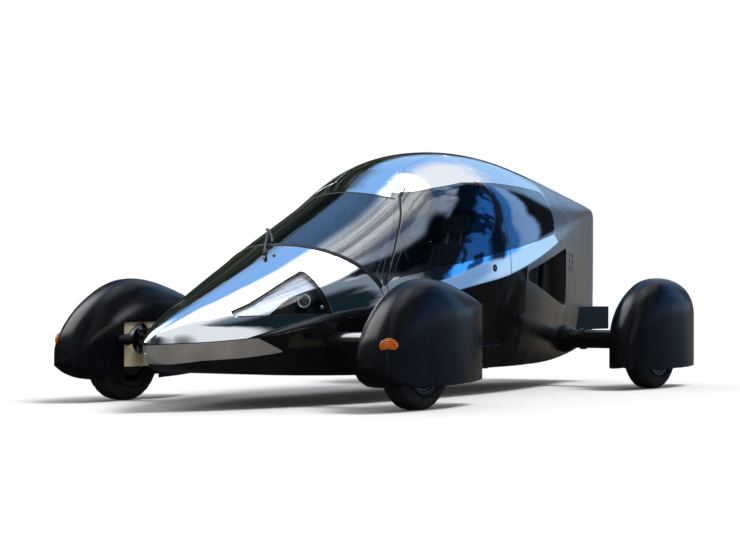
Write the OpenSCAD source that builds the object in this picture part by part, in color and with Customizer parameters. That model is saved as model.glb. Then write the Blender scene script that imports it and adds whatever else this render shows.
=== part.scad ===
// Ultralight four-seat car with outrigger wheels in streamlined pods.
// +X forward, +Y left, +Z up, millimetres.  Origin: middle of the outline on the ground.

/* [Body] */
// Front axle to the tip of the nose
nose_length = 990; // [900:1:1100]
// Front axle to the end of the tail
tail_length = 3440; // [3300:1:3600]
// Thickness of the body walls and floor
wall = 24; // [12:1:40]
// Thickness of the doors
door_wall = 32; // [20:1:45]
// Gap between fixed panels
seam = 3; // [1:0.5:6]
// Gap around the doors
door_gap = 8; // [5:0.5:14]
// Extra room for the door along the front pillar
pillar_gap = 11; // [5:0.5:16]
// Distance of the door hinge lines from the middle
hinge_y = 170; // [120:1:240]
// Height of the door hinge lines
hinge_z = 1340; // [1250:1:1360]
// Thickness of the window glass
glass = 6; // [4:0.5:10]

/* [Running gear] */
// Front axle to rear axle
wheelbase = 2710; // [2500:1:2900]
// Middle of one tyre to the middle of the other
track = 1810; // [1700:1:1900]
// Outside radius of the tyres
tyre_r = 252; // [240:1:280]
// Width of the tyres
tyre_w = 145; // [120:1:175]
// Radius of the rim under the tyre
rim_r = 165; // [150:1:185]
// Radius of the wheel spindles
spindle_r = 17; // [12:0.5:24]
// Running clearance between spindle and hub
spindle_gap = 0.05; // [0.02:0.01:0.1]
// Radius of the front beam
front_beam_r = 50; // [35:1:60]
// Height of the front beam
front_beam_z = 330; // [300:1:360]
// Radius of the rear beam
rear_beam_r = 55; // [40:1:65]
// Height of the rear beam
rear_beam_z = 284; // [260:1:320]
// Kingpin distance inboard of the tyre's middle
kingpin_in = 105; // [95:1:115]
// Wall of the wheel pods
pod_wall = 6; // [4:0.5:12]

/* [Interior] */
// Distance of the front seats from the middle
seat_y = 262; // [230:1:300]
// Width of a front seat
seat_w = 400; // [360:1:440]
// Radius of the steering wheel
steer_r = 140; // [130:1:150]
// Tilt of the steering column
steer_tilt = 22; // [10:1:35]

/* [View] */
// Node to draw

/* [Hidden] */
$fn = 48;
plate_t = 6;                             // plate bracket behind the tail
fx = (tail_length + plate_t - nose_length)/2;   // front axle in the part's frame
hy = track/2;                            // wheel middle plane
// Body sections.  Columns: x from the front axle, height of the belly, half width of the
// belly, height of the belt crease, half width at the crease, height of the ridge, fullness.
body_tab = [
 [ nose_length,  285,   6,  327,  10,  340, 2.0],
 [ nose_length-30,262, 24,  328,  34,  366, 2.0],
 [  880, 232,  65,  331,  86,  415, 1.95],
 [  700, 195, 160,  338, 196,  498, 1.90],
 [  420, 172, 270,  362, 318,  606, 1.87],
 [   50, 158, 370,  425, 447,  752, 1.85],
 [ -350, 150, 450,  497, 552,  922, 1.83],
 [ -800, 150, 490,  563, 612, 1120, 1.88],
 [-1150, 150, 500,  612, 622, 1290, 2.00],
 [-1550, 150, 490,  668, 605, 1360, 2.15],
 [-2000, 150, 440,  762, 545, 1355, 2.15],
 [-2500, 160, 350,  880, 440, 1285, 2.15],
 [-3000, 205, 255,  985, 310, 1190, 2.20],
 [-tail_length+68, 272, 180, 1046, 194, 1118, 2.36],
 [-tail_length+20, 284, 169, 1040, 180, 1094, 2.40],
 [-tail_length, 290, 165, 1016, 173, 1050, 2.40]];
// Pod sections.  Columns: x from the axle, height of the lower edge, height of the top, half width, shift outwards.
front_pod_tab = [[470,165,225,30,22],[458,128,300,65,21],[425,112,380,95,20],[340,106,478,116,12],[220,108,562,131,4],
 [80,112,624,138,0],[-60,118,645,138,0],[-220,120,632,127,0],[-400,122,592,92,0],[-560,125,548,46,0],[-660,127,515,12,0]];
rear_pod_tab = [[440,150,230,12,0],[428,130,305,45,0],[395,122,385,72,0],[310,118,490,104,0],[190,118,575,126,0],
 [50,118,632,137,0],[-80,118,646,138,0],[-220,119,638,130,0],[-360,121,605,105,0],[-470,123,548,72,0],[-545,125,460,40,0]];
// Side outlines, x from the front axle and height.
pillar_line = [[-360,637],[-466,740],[-592,846],[-761,982],[-881,1088]];
door_window = [[-428,652],[-505,728],[-625,826],[-790,960],[-915,1066],[-960,1102],[-1093,1143],
 [-1332,1172],[-1490,1178],[-1490,797],[-1190,757],[-796,701]];
quarter_window = [[-1596,1179],[-1743,1177],[-2018,1169],[-2290,1153],[-2340,1140],[-2348,1100],[-2330,960],
 [-2300,906],[-2000,863],[-1696,823],[-1596,810]];
headlight = [[560,469],[440,519],[166,632],[34,684],[40,600],[38,469]];
intake = [[-1815,684],[-2583,826],[-2655,476],[-2400,522],[-2150,572],[-1960,612],[-1823,632]];

function cr(a,b,c,d,t) = 0.5*(2*b + (c-a)*t + (2*a-5*b+4*c-d)*t*t + (-a+3*b-3*c+d)*t*t*t);
function row(tab,u) = let(n=len(tab)-1, i=max(0,min(floor(u),n-1)), t=u-i, b=tab[i], c=tab[i+1],
   a = i>0 ? tab[i-1] : 2*b-c, d = i<n-1 ? tab[i+2] : 2*c-b)
   [for(k=[0:len(b)-1]) cr(a[k],b[k],c[k],d[k],t)];
// Position along the table at which the section lies at x.
function find_u(x,lo=0,hi=15,k=22) = k==0 ? (lo+hi)/2 :
   let(m=(lo+hi)/2) row(body_tab,m)[0] > x ? find_u(x,m,hi,k-1) : find_u(x,lo,m,k-1);
function chine(x) = row(body_tab,find_u(x))[3];
function top_z(x,y) = let(r=row(body_tab,find_u(x))) r[3]+(r[5]-r[3])*pow(max(0,1-pow(min(1,abs(y)/r[4]),r[6])),1/r[6]);
function pw(v,p) = v <= 0 ? 0 : pow(v,p);
// Left half of a section, belly edge to ridge, drawn in by o.
function half(r,o,nb=4,na=10) = let(zb=r[1]+o, wb=max(2,r[2]-o), zc=r[3], wc=max(3,r[4]-o), zt=max(zc+2,r[5]-o),
   cy=wb+0.8*(wc-wb), cz=zb+0.25*(zc-zb))
  concat([for(k=[0:nb]) let(t=k/nb) [(1-t)*(1-t)*wb+2*t*(1-t)*cy+t*t*wc, (1-t)*(1-t)*zb+2*t*(1-t)*cz+t*t*zc]],
         [for(k=[1:na]) let(a=90*k/na) [k==na ? 0 : wc*pw(cos(a),2/r[6]), zc+(zt-zc)*pw(sin(a),2/r[6])]]);
function ring(r,o) = let(h=half(r,o),n=len(h))
  concat([for(p=h) [r[0],p[0],p[1]]], [for(k=[n-2:-1:0]) [r[0],-h[k][0],h[k][1]]]);
module loft(rings) {
  n=len(rings); m=len(rings[0]);
  polyhedron(points=[for(r=rings) each r],
    faces=concat([[for(k=[m-1:-1:0]) k]], [[for(k=[0:m-1]) (n-1)*m+k]],
     [for(i=[0:n-2]) for(k=[0:m-1]) let(a=i*m+k,b=i*m+(k+1)%m) each [[a,b,a+m],[b,b+m,a+m]]]));
}
// Whole body drawn in by o (o = 0 is the outside).
module body(o=0, step=0.34) {
  u0 = o>0 ? 1.75+o/120 : 0;
  u1 = o>0 ? find_u(-tail_length+o) : 15;
  k = ceil((u1-u0)/step);
  loft([for(i=[0:k]) ring(row(body_tab,u0+(u1-u0)*i/k), o)]);
}
module skin(a,b) { difference() { body(a); body(b); } }
module side(pts, y0=-900, y1=900) translate([0,y1,0]) rotate([90,0,0]) linear_extrude(y1-y0) polygon(pts);
module side_grow(pts, d, y0=-900, y1=900) translate([0,y1,0]) rotate([90,0,0]) linear_extrude(y1-y0) offset(delta=d) polygon(pts);
function belt(x0,x1,d,n=14) = [for(k=[0:n]) let(x=x0+(x1-x0)*k/n) [x,chine(x)+d]];
module above_belt(x0,x1,d) side(concat(belt(x0,x1,d),[[x1,2000],[x0,2000]]));
module below_belt(x0,x1,d) side(concat(belt(x0,x1,d),[[x1,0],[x0,0]]));
// Plan curves of the lower and upper edge of the windscreen.
function screen_base(y) = -100-0.2*abs(y)-0.0004*y*y;
function screen_top(y) = -780-0.0009*y*y;
ys = [for(k=[-16:16]) 44*k];
module ahead_of_base(d) linear_extrude(2000) polygon(concat([for(y=ys) [screen_base(y)+d,y]],[[1500,704],[1500,-704]]));
module screen_zone(d) intersection() {
  linear_extrude(2000) polygon(concat([for(y=ys) [screen_base(y)+d,y]],[for(k=[32:-1:0]) [screen_top(ys[k])-d,ys[k]]]));
  side(concat([for(p=pillar_line) p+[24-d,26-d]],[[-900,1500],[300,1500],[300,560]]));
}
// Door outline seen from the side; d grows it.
door_outline = concat([[-344,chine(-344)+4]],[for(p=pillar_line) p+[-5,-6]],
  [[-955,1128],[-955,1500],[-1550,1500],[-1550,285],[-755,285]], belt(-755,-400,4,4));
module door_zone(d=0) {
  side_grow(door_outline, d, hinge_y+6-0.9*d, 900);
  if (d>0) side(concat([for(p=pillar_line) p+[pillar_gap-1,pillar_gap+1]],[[-963,1156+pillar_gap],[-963,1050],[-700,800],[-350,560],[-340,600]]), hinge_y, 900);
}
module both() { children(); mirror([0,1,0]) children(); }
module at_front() translate([fx,0,0]) children();
module one_mesh() resize([0,0,0]) children();

module nose_cowl() color([0.80,0.82,0.84]) at_front() one_mesh() difference() {
  intersection() { skin(0,wall); above_belt(nose_length+20,-345,seam/2); ahead_of_base(seam/2); }
  both() side(headlight,0,900);
}
module lower_tub() color([0.05,0.05,0.06]) at_front() one_mesh() difference() {
  intersection() { skin(0,wall); below_belt(nose_length+20,-1800,-seam/2); }
  both() door_zone(door_gap);
  translate([0,0,front_beam_z]) rotate([90,0,0]) cylinder(r=front_beam_r+3,h=1400,center=true);
}
module roof_shell() color([0.80,0.82,0.84]) at_front() one_mesh() difference() {
  intersection() { skin(0,wall); above_belt(-200,-2450,seam/2); }
  ahead_of_base(-seam/2);
  screen_zone(1);
  both() door_zone(door_gap);
  both() side_grow(quarter_window,1.5,60,900);
}
module tail_shell() color([0.72,0.73,0.74]) at_front() one_mesh() difference() {
  intersection() { skin(0,wall);
    side(concat([[-1800-seam/2,0]],belt(-1800-seam/2,-2450-seam/2,-seam/2),[[-2450-seam/2,2000],[-4000,2000],[-4000,0]])); }
  both() side(intake,0,900);
  translate([-wheelbase,0,rear_beam_z]) rotate([90,0,0]) cylinder(r=rear_beam_r+3,h=1400,center=true);
}
module windscreen() color([0.25,0.32,0.38,0.45]) at_front() one_mesh() intersection() { skin(0,glass); screen_zone(-1); }
module door_left() difference() {
  intersection() { skin(0,door_wall); door_zone(); }
  side_grow(door_window,1.5,100,900);
  // thin frame along the front pillar so that the door lifts clear of it
  intersection() { body(13); side(concat([for(p=pillar_line) p+[20,20]],[for(k=[4:-1:0]) pillar_line[k]+[-60,-70]]),100,900); }
}
module left_door() color([0.80,0.82,0.84]) at_front() one_mesh() door_left();
module right_door() color([0.80,0.82,0.84]) at_front() one_mesh() mirror([0,1,0]) door_left();
module pane(pts) intersection() { skin(0,glass); side(pts,60,900); }
module left_door_glass() color([0.25,0.32,0.38,0.45]) at_front() one_mesh() pane(door_window);
module right_door_glass() color([0.25,0.32,0.38,0.45]) at_front() one_mesh() mirror([0,1,0]) pane(door_window);
module quarter_windows() color([0.25,0.32,0.38,0.45]) at_front() one_mesh() both() pane(quarter_window);
module headlight_covers() color([0.80,0.85,0.90,0.35]) at_front() one_mesh() both()
  intersection() { skin(0,glass); side_grow(headlight,-1.5,0,900); }
module headlamps() color([0.06,0.06,0.07]) at_front() one_mesh() both() {
  intersection() { skin(70,78); side_grow(headlight,14,60,900); }
  intersection() { translate([40,300,520]) rotate([0,90,8]) cylinder(r=42,h=130,$fn=32); body(34); }
}
module intake_ducts() color([0.04,0.04,0.04]) at_front() one_mesh() both() intersection() { skin(90,98); side_grow(intake,16,60,900); }
module rear_side_boxes() color([0.07,0.07,0.08]) at_front() one_mesh() both() difference() {
  hull() { translate([-tail_length,40,330]) cube([520,240,140]); translate([-2960,40,330]) cube([90,215,110]); }
  body(-2);
}

// Front beam with a kingpin eye at each end.
module front_beam() color([0.06,0.06,0.07]) at_front() difference() {
  union() {
    translate([0,0,front_beam_z]) rotate([90,0,0]) cylinder(r=front_beam_r,h=2*(hy-kingpin_in-26),center=true);
    both() translate([0,hy-kingpin_in-40,front_beam_z]) rotate([-90,0,0]) cylinder(r=20,h=40);
    both() translate([0,hy-kingpin_in,front_beam_z-45]) cylinder(r=24,h=90);
  }
  both() translate([0,hy-kingpin_in,front_beam_z-60]) cylinder(r=10,h=120);
}
// Steering knuckle: kingpin, two lugs, spindle and the strut that carries the pod.
module knuckle() {
  k = hy-kingpin_in;
  translate([0,k,front_beam_z-60]) cylinder(r=9.95,h=115);
  translate([0,k,front_beam_z+46]) cylinder(r=24,h=18);
  translate([0,k,front_beam_z-82]) cylinder(r=24,h=36);
  translate([0,k,tyre_r]) rotate([-90,0,0]) cylinder(r=spindle_r,h=kingpin_in+30);
  translate([-20,k-12,front_beam_z+60]) cube([40,22,120]);
}
module front_left_knuckle() color([0.35,0.35,0.36]) at_front() knuckle();
module front_right_knuckle() color([0.35,0.35,0.36]) at_front() mirror([0,1,0]) knuckle();
module rear_beam() color([0.06,0.06,0.07]) at_front() translate([-wheelbase,0,rear_beam_z]) rotate([90,0,0]) {
  cylinder(r=rear_beam_r,h=2*(hy-kingpin_in-26),center=true);
  for(s=[-1,1]) translate([0,0,s*470]) cylinder(r=rear_beam_r+8,h=24,center=true);
}
// Rear uprights: plate at the end of the beam, with the spindle and the strut for the pod.
module rear_uprights() color([0.35,0.35,0.36]) at_front() both() translate([-wheelbase,0,0]) {
  k = hy-kingpin_in-26;
  translate([0,k,rear_beam_z]) rotate([-90,0,0]) cylinder(r=30,h=10);
  translate([-45,k+3,200]) cube([90,22,230]);
  translate([0,k+10,tyre_r]) rotate([-90,0,0]) cylinder(r=spindle_r,h=kingpin_in+46);
}
function pod_ring(r,o,low,n=12) = let(h=max(3,r[3]-o), zl=r[1]-low, zt=max(r[1]+20,r[2]-o), zs=max(r[1]+0.3*(zt-r[1]),zt-1.6*h))
  concat([[r[0],r[4]+h,zl]],
   [for(k=[0:n]) let(a=180*k/n,c=cos(a),s=sin(a)) [r[0], r[4]+h*sign(c)*pw(abs(c),2/2.3), zs+(zt-zs)*pw(s,2/2.3)]],
   [[r[0],r[4]-h,zl]]);
module pod_solid(tab,o=0,u0=0,u1=10,low=0,k=22) loft([for(i=[0:k]) pod_ring(row(tab,u0+(u1-u0)*i/k),o,low)]);
module front_pod() difference() {
  pod_solid(front_pod_tab);
  pod_solid(front_pod_tab,pod_wall,0.75,9.2,60,18);
  // arch for the beam, on the inner side
  translate([0,-60,0]) rotate([90,0,0]) linear_extrude(200) union() {
    translate([-152,0]) square([304,396]); translate([-130,0]) square([260,418]);
    for(s=[-1,1]) translate([s*130,396]) circle(r=22,$fn=24); }
}
module rear_pod() difference() {
  pod_solid(rear_pod_tab);
  pod_solid(rear_pod_tab,pod_wall,0.75,9.4,60,18);
  translate([0,-60,rear_beam_z]) rotate([90,0,0]) cylinder(r=rear_beam_r+4,h=200,$fn=28);
}
module front_left_pod() color([0.05,0.05,0.06]) at_front() one_mesh() translate([0,hy,0]) front_pod();
module front_right_pod() color([0.05,0.05,0.06]) at_front() one_mesh() mirror([0,1,0]) translate([0,hy,0]) front_pod();
module rear_left_pod() color([0.05,0.05,0.06]) at_front() one_mesh() translate([-wheelbase,hy,0]) rear_pod();
module rear_right_pod() color([0.05,0.05,0.06]) at_front() one_mesh() mirror([0,1,0]) translate([-wheelbase,hy,0]) rear_pod();
module indicator() difference() {
  translate([412,100,322]) rotate([0,0,60]) scale([28,57,34]) sphere(r=1,$fn=24);
  pod_solid(front_pod_tab,-1);
}
module front_left_indicator() color([0.95,0.35,0.02]) at_front() one_mesh() translate([0,hy,0]) indicator();
module front_right_indicator() color([0.95,0.35,0.02]) at_front() one_mesh() mirror([0,1,0]) translate([0,hy,0]) indicator();

// Wheel: rim with hub and tyre, turned about the spindle.
module on_spindle(x,y) at_front() translate([x,y,tyre_r]) rotate([y>0?-90:90,0,0]) children();
module rim() rotate_extrude() difference() {
  polygon([[spindle_r+spindle_gap,-40],[52,-40],[60,10],[140,30],[rim_r-16,30],[rim_r-16,-52],[rim_r-8,-62],
    [rim_r+12,-62],[rim_r+12,-54],[rim_r,-54],[rim_r,54],[rim_r+12,54],[rim_r+12,62],[rim_r-8,62],[rim_r-12,46],
    [140,46],[60,28],[spindle_r+spindle_gap,28]]);
}
module tyre() rotate_extrude() difference() {
  hull() {
    translate([rim_r+0.4,-40]) square([10,80]);
    for(s=[-1,1]) { translate([205,s*(tyre_w/2-26)]) circle(r=26,$fn=24); translate([tyre_r-22,s*(tyre_w/2-34)]) circle(r=22,$fn=24); }
  }
  // hollow inside
  hull() { translate([rim_r-5,-34]) square([10,68]); translate([205,-(tyre_w/2-14)]) square([1,tyre_w-28]); translate([tyre_r-20,-40]) square([5,80]); }
}
module wheel_rim(x,y) color([0.62,0.58,0.47]) on_spindle(x,y) rim();
module wheel_tyre(x,y) color([0.03,0.03,0.03]) on_spindle(x,y) tyre();
module front_left_rim() wheel_rim(0,hy);
module front_right_rim() wheel_rim(0,-hy);
module rear_left_rim() wheel_rim(-wheelbase,hy);
module rear_right_rim() wheel_rim(-wheelbase,-hy);
module front_left_tyre() wheel_tyre(0,hy);
module front_right_tyre() wheel_tyre(0,-hy);
module rear_left_tyre() wheel_tyre(-wheelbase,hy);
module rear_right_tyre() wheel_tyre(-wheelbase,-hy);

// Cabin.
module front_seats() color([0.10,0.10,0.11]) at_front() one_mesh() both() translate([0,seat_y,0]) {
  hull() for(y=[-1,1]) { translate([-860,y*(seat_w/2-40),330]) sphere(r=40,$fn=12); translate([-880,y*(seat_w/2-40),230]) sphere(r=30,$fn=12);
    translate([-1330,y*(seat_w/2-60),290]) sphere(r=40,$fn=12); translate([-1330,y*(seat_w/2-60),230]) sphere(r=30,$fn=12); }
  hull() for(y=[-1,1]) { translate([-1320,y*(seat_w/2-60),300]) sphere(r=45,$fn=12); translate([-1500,y*(seat_w/2-90),820]) sphere(r=36,$fn=12); }
  hull() for(y=[-1,1]) { translate([-1515,y*70,860]) sphere(r=30,$fn=12); translate([-1545,y*60,980]) sphere(r=30,$fn=12); }
  translate([-1320,-150,174.5]) cube([420,300,60]);
}
module rear_bench() color([0.10,0.10,0.11]) at_front() one_mesh() {
  hull() for(y=[-1,1]) { translate([-1700,y*340,380]) sphere(r=40,$fn=12); translate([-1720,y*340,250]) sphere(r=30,$fn=12);
    translate([-2130,y*300,330]) sphere(r=40,$fn=12); translate([-2130,y*300,250]) sphere(r=30,$fn=12); }
  hull() for(y=[-1,1]) { translate([-2130,y*300,350]) sphere(r=45,$fn=12); translate([-2300,y*250,880]) sphere(r=36,$fn=12); }
  translate([-2100,-240,176]) cube([360,480,80]);
}
module dashboard() color([0.07,0.07,0.08]) at_front() one_mesh() intersection() {
  hull() { translate([-330,0,600]) rotate([90,0,0]) cylinder(r=40,h=760,center=true,$fn=20);
    translate([-560,0,640]) rotate([90,0,0]) cylinder(r=40,h=760,center=true,$fn=20);
    translate([-520,0,470]) rotate([90,0,0]) cylinder(r=40,h=760,center=true,$fn=20); }
  body(44);
}
// Steering column and wheel on the left.
module steer_frame() at_front() translate([-760,seat_y,735]) rotate([0,-(90-steer_tilt),0]) children();
module steering_column() color([0.10,0.10,0.10]) steer_frame() translate([0,0,-178]) cylinder(r=18,h=136);
module steering_wheel() color([0.06,0.06,0.06]) steer_frame() {
  rotate_extrude() translate([steer_r,0]) circle(r=14,$fn=24);
  translate([0,0,-34]) cylinder(r=40,h=40);
  for(a=[0,120,240]) rotate([0,0,a]) translate([20,-12,-10]) cube([steer_r-24,24,10]);
}
// Hoops and rails that follow the inside of the cabin.
function hoop(x,o,n=10) = let(r=row(body_tab,find_u(x)), h=half(r,o,4,n)) [for(k=[2:len(h)-1]) [x,h[k][0],h[k][1]]];
module tube(pts,r=17) for(k=[0:len(pts)-2]) hull() { translate(pts[k]) sphere(r=r,$fn=8); translate(pts[k+1]) sphere(r=r,$fn=8); }
function rail(x0,x1,y,o,n) = [for(k=[0:n]) let(x=x0+(x1-x0)*k/n) [x,y,top_z(x,y)-o]];
module roll_cage() color([0.05,0.05,0.06]) at_front() one_mesh() {
  both() { tube(hoop(-1590,66)); tube(hoop(-2260,66)); 
    tube([for(p=pillar_line) let(q=p+[10,-20]) [q[0],max(0,sqrt(1)) * pillar_y(q)-70,q[1]-30]]);
    tube(rail(-901,-2260,150,70,8)); tube([[-901,150,top_z(-901,150)-70],[-871,pillar_y([-871,1068])-70,1038]]);
  }
}
function pillar_y(q) = let(r=row(body_tab,find_u(q[0]))) r[4]*pow(max(0,1-pow(min(1,(q[1]-r[3])/(r[5]-r[3])),r[6])),1/r[6]);
module engine_block() color([0.30,0.30,0.31]) at_front() translate([-3000,-190,355]) cube([520,380,360]);
function over_screen(a,b,h,n) = [for(k=[0:n]) let(p=a+(b-a)*k/n) [p[0],p[1],top_z(p[0],p[1])+h]];
module wiper() color([0.05,0.05,0.05]) at_front() one_mesh() {
  tube(over_screen([46,43],[-330,-190],22,5),7);
  tube(over_screen([-120,-20],[-520,-330],12,6),6);
  translate([46,43,top_z(46,43)+10]) cylinder(r=13,h=16,$fn=16);
}
module interior_mirror() color([0.08,0.08,0.08]) at_front() { translate([-800,-100,1010]) cube([14,200,54]); translate([-793,0,1060]) cylinder(r=6,h=14); }
module jack_pads() color([0.10,0.10,0.10]) at_front() both() for(x=[-800,-1700]) translate([x,330,137]) cylinder(r=40,h=12);
module plate_bracket() color([0.08,0.08,0.08]) at_front() translate([-tail_length,0,0]) plate();
module plate() difference() { translate([-plate_t,-140,520]) cube([plate_t,280,110]); for(s=[-1,1]) translate([0,s*105,575]) rotate([0,-90,0]) cylinder(r=3.5,h=30,center=true); }

nose_cowl();
lower_tub();
roof_shell();
tail_shell();
windscreen();
left_door();
right_door();
left_door_glass();
right_door_glass();
quarter_windows();
headlight_covers();
headlamps();
intake_ducts();
rear_side_boxes();
front_beam();
rear_beam();
rear_uprights();
front_left_knuckle();
front_right_knuckle();
front_left_pod();
front_right_pod();
rear_left_pod();
rear_right_pod();
front_left_indicator();
front_right_indicator();
front_left_rim();
front_right_rim();
rear_left_rim();
rear_right_rim();
front_left_tyre();
front_right_tyre();
rear_left_tyre();
rear_right_tyre();
front_seats();
rear_bench();
dashboard();
steering_column();
steering_wheel();
roll_cage();
engine_block();
wiper();
interior_mirror();
jack_pads();
plate_bracket();
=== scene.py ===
import bpy, bmesh, math
import numpy as np
from mathutils import Vector, Matrix


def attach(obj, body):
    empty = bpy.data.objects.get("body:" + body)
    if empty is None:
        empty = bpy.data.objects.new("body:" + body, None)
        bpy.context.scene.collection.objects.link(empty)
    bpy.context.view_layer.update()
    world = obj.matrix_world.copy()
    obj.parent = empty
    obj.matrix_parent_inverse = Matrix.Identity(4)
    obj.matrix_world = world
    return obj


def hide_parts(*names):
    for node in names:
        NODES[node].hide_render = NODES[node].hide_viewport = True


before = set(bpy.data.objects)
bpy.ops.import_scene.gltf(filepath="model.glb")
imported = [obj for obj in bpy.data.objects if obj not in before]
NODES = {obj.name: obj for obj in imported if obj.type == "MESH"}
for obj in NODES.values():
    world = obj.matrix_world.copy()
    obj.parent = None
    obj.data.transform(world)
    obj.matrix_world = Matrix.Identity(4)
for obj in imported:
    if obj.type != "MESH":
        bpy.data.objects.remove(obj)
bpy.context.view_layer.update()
ROOT = "chassis"

# ------------------------------------------------------------------ body surface
FX = 1.228            # front axle in the part's frame
HY = 0.905            # wheel middle plane
WB = 2.710            # wheelbase
TYRE_R = 0.252
# x from the front axle, belly height, belly half width, belt height, belt half width, ridge height, fullness
TAB = np.array([
    [0.990, 0.285, 0.006, 0.327, 0.010, 0.340, 2.00],
    [0.960, 0.262, 0.024, 0.328, 0.034, 0.366, 2.00],
    [0.880, 0.232, 0.065, 0.331, 0.086, 0.415, 1.95],
    [0.700, 0.195, 0.160, 0.338, 0.196, 0.498, 1.90],
    [0.420, 0.172, 0.270, 0.362, 0.318, 0.606, 1.87],
    [0.050, 0.158, 0.370, 0.425, 0.447, 0.752, 1.85],
    [-0.350, 0.150, 0.450, 0.497, 0.552, 0.922, 1.83],
    [-0.800, 0.150, 0.490, 0.563, 0.612, 1.120, 1.88],
    [-1.150, 0.150, 0.500, 0.612, 0.622, 1.290, 2.00],
    [-1.550, 0.150, 0.490, 0.668, 0.605, 1.360, 2.15],
    [-2.000, 0.150, 0.440, 0.762, 0.545, 1.355, 2.15],
    [-2.500, 0.160, 0.350, 0.880, 0.440, 1.285, 2.15],
    [-3.000, 0.205, 0.255, 0.985, 0.310, 1.190, 2.20],
    [-3.372, 0.272, 0.180, 1.046, 0.194, 1.118, 2.36],
    [-3.420, 0.284, 0.169, 1.040, 0.180, 1.094, 2.40],
    [-3.440, 0.290, 0.165, 1.016, 0.173, 1.050, 2.40]])
PILLAR = np.array([[-.360, .637], [-.466, .740], [-.592, .846], [-.761, .982], [-.881, 1.088]])
DOOR_WINDOW = np.array([[-.428, .652], [-.505, .728], [-.625, .826], [-.790, .960], [-.915, 1.066], [-.958, 1.102],
    [-1.030, 1.122], [-1.100, 1.1345], [-1.200, 1.150], [-1.332, 1.169], [-1.490, 1.178], [-1.490, .797], [-1.190, .757], [-.796, .701]])
QUARTER = np.array([[-1.596, 1.179], [-1.743, 1.177], [-2.018, 1.169], [-2.290, 1.153], [-2.340, 1.140], [-2.348, 1.100],
    [-2.330, .960], [-2.300, .906], [-2.000, .863], [-1.696, .823], [-1.596, .810]])
HEADLIGHT = np.array([[.560, .469], [.440, .519], [.166, .632], [.034, .684], [.040, .600], [.038, .469]])
INTAKE = np.array([[-1.815, .684], [-2.583, .826], [-2.655, .476], [-2.400, .522], [-2.150, .572], [-1.960, .612], [-1.823, .632]])


def cr_rows(tab, u):
    n = len(tab) - 1
    u = np.asarray(u, float)
    i = np.clip(np.floor(u).astype(int), 0, n - 1)
    t = (u - i)[:, None]
    b, c = tab[i], tab[i + 1]
    a = np.where((i > 0)[:, None], tab[np.maximum(i - 1, 0)], 2 * b - c)
    d = np.where((i < n - 1)[:, None], tab[np.minimum(i + 2, n)], 2 * c - b)
    return 0.5 * (2 * b + (c - a) * t + (2 * a - 5 * b + 4 * c - d) * t ** 2 + (-a + 3 * b - 3 * c + d) * t ** 3)


_R = cr_rows(TAB, np.linspace(0, len(TAB) - 1, 5201))


def rows(x):
    x = np.asarray(x, float)
    return [np.interp(-x, -_R[:, 0], _R[:, k]) for k in range(7)]


def chine(x):
    return rows(x)[3]


def top_z(x, y):
    _, zb, wb, zc, wc, zt, n = rows(x)
    return zc + (zt - zc) * np.maximum(0, 1 - np.minimum(1, np.abs(y) / wc) ** n) ** (1 / n)


def side_y(x, z):
    """half width of the upper body at a height above the belt"""
    _, zb, wb, zc, wc, zt, n = rows(x)
    return wc * np.maximum(0, 1 - np.clip((z - zc) / (zt - zc), 0, 1) ** n) ** (1 / n)


def upper_pt(x, th):
    _, zb, wb, zc, wc, zt, n = rows(x)
    c, s = np.cos(th), np.sin(th)
    return np.stack([x, wc * np.sign(c) * np.abs(c) ** (2 / n), zc + (zt - zc) * np.maximum(s, 0) ** (2 / n)], -1)


def upper_n(P):
    x, y, z = P.T
    def f(xx):
        _, zb, wb, zc, wc, zt, n = rows(xx)
        return (np.abs(y) / wc) ** n + np.maximum((z - zc) / (zt - zc), 0) ** n
    e = 2e-3
    xa, xb = np.minimum(x + e, .99), np.maximum(x - e, -3.44)
    gx = (f(xa) - f(xb)) / (xa - xb)
    _, zb, wb, zc, wc, zt, n = rows(x)
    gy = n * np.sign(y) * (np.abs(y) / wc) ** (n - 1) / wc
    gz = n * np.maximum((z - zc) / (zt - zc), 0) ** (n - 1) / (zt - zc)
    g = np.stack([gx, gy, gz], -1)
    return g / np.linalg.norm(g, axis=1)[:, None]


def lower_pt(x, t):
    """t 0 at the left belt crease, 1 at the left belly edge, 2 at the right one, 3 at the right crease"""
    _, zb, wb, zc, wc, zt, n = rows(x)
    cy, cz = wb + .8 * (wc - wb), zb + .25 * (zc - zb)
    s = np.where(t < 1, 1 - t, np.where(t > 2, t - 2, 0))
    y = (1 - s) ** 2 * wb + 2 * s * (1 - s) * cy + s * s * wc
    z = (1 - s) ** 2 * zb + 2 * s * (1 - s) * cz + s * s * zc
    sg = np.where(t < 1, 1.0, np.where(t > 2, -1.0, 3 - 2 * t))
    return np.stack([x, np.where((t >= 1) & (t <= 2), wb * sg, y * sg), z], -1)


def lower_n(x, t):
    e = 1e-3
    xa, xb = np.minimum(x + e, .99), np.maximum(x - e, -3.44)
    # one sided at the belly's edges, so that the crease stays a crease
    ta, tb = t + e, t - e
    for k in (1., 2.):
        ta = np.where((t <= k) & (ta > k), k, ta)
        tb = np.where((t > k) & (tb < k), k, tb)
    dx = lower_pt(xa, t) - lower_pt(xb, t)
    dt = lower_pt(x, np.minimum(ta, 3)) - lower_pt(x, np.maximum(tb, 0))
    g = np.cross(dx, dt)
    g /= np.maximum(np.linalg.norm(g, axis=1), 1e-12)[:, None]
    c = np.stack([np.zeros_like(x), lower_pt(x, t)[:, 1], lower_pt(x, t)[:, 2] - .5], -1)
    return g * np.sign((g * c).sum(1))[:, None]


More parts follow.
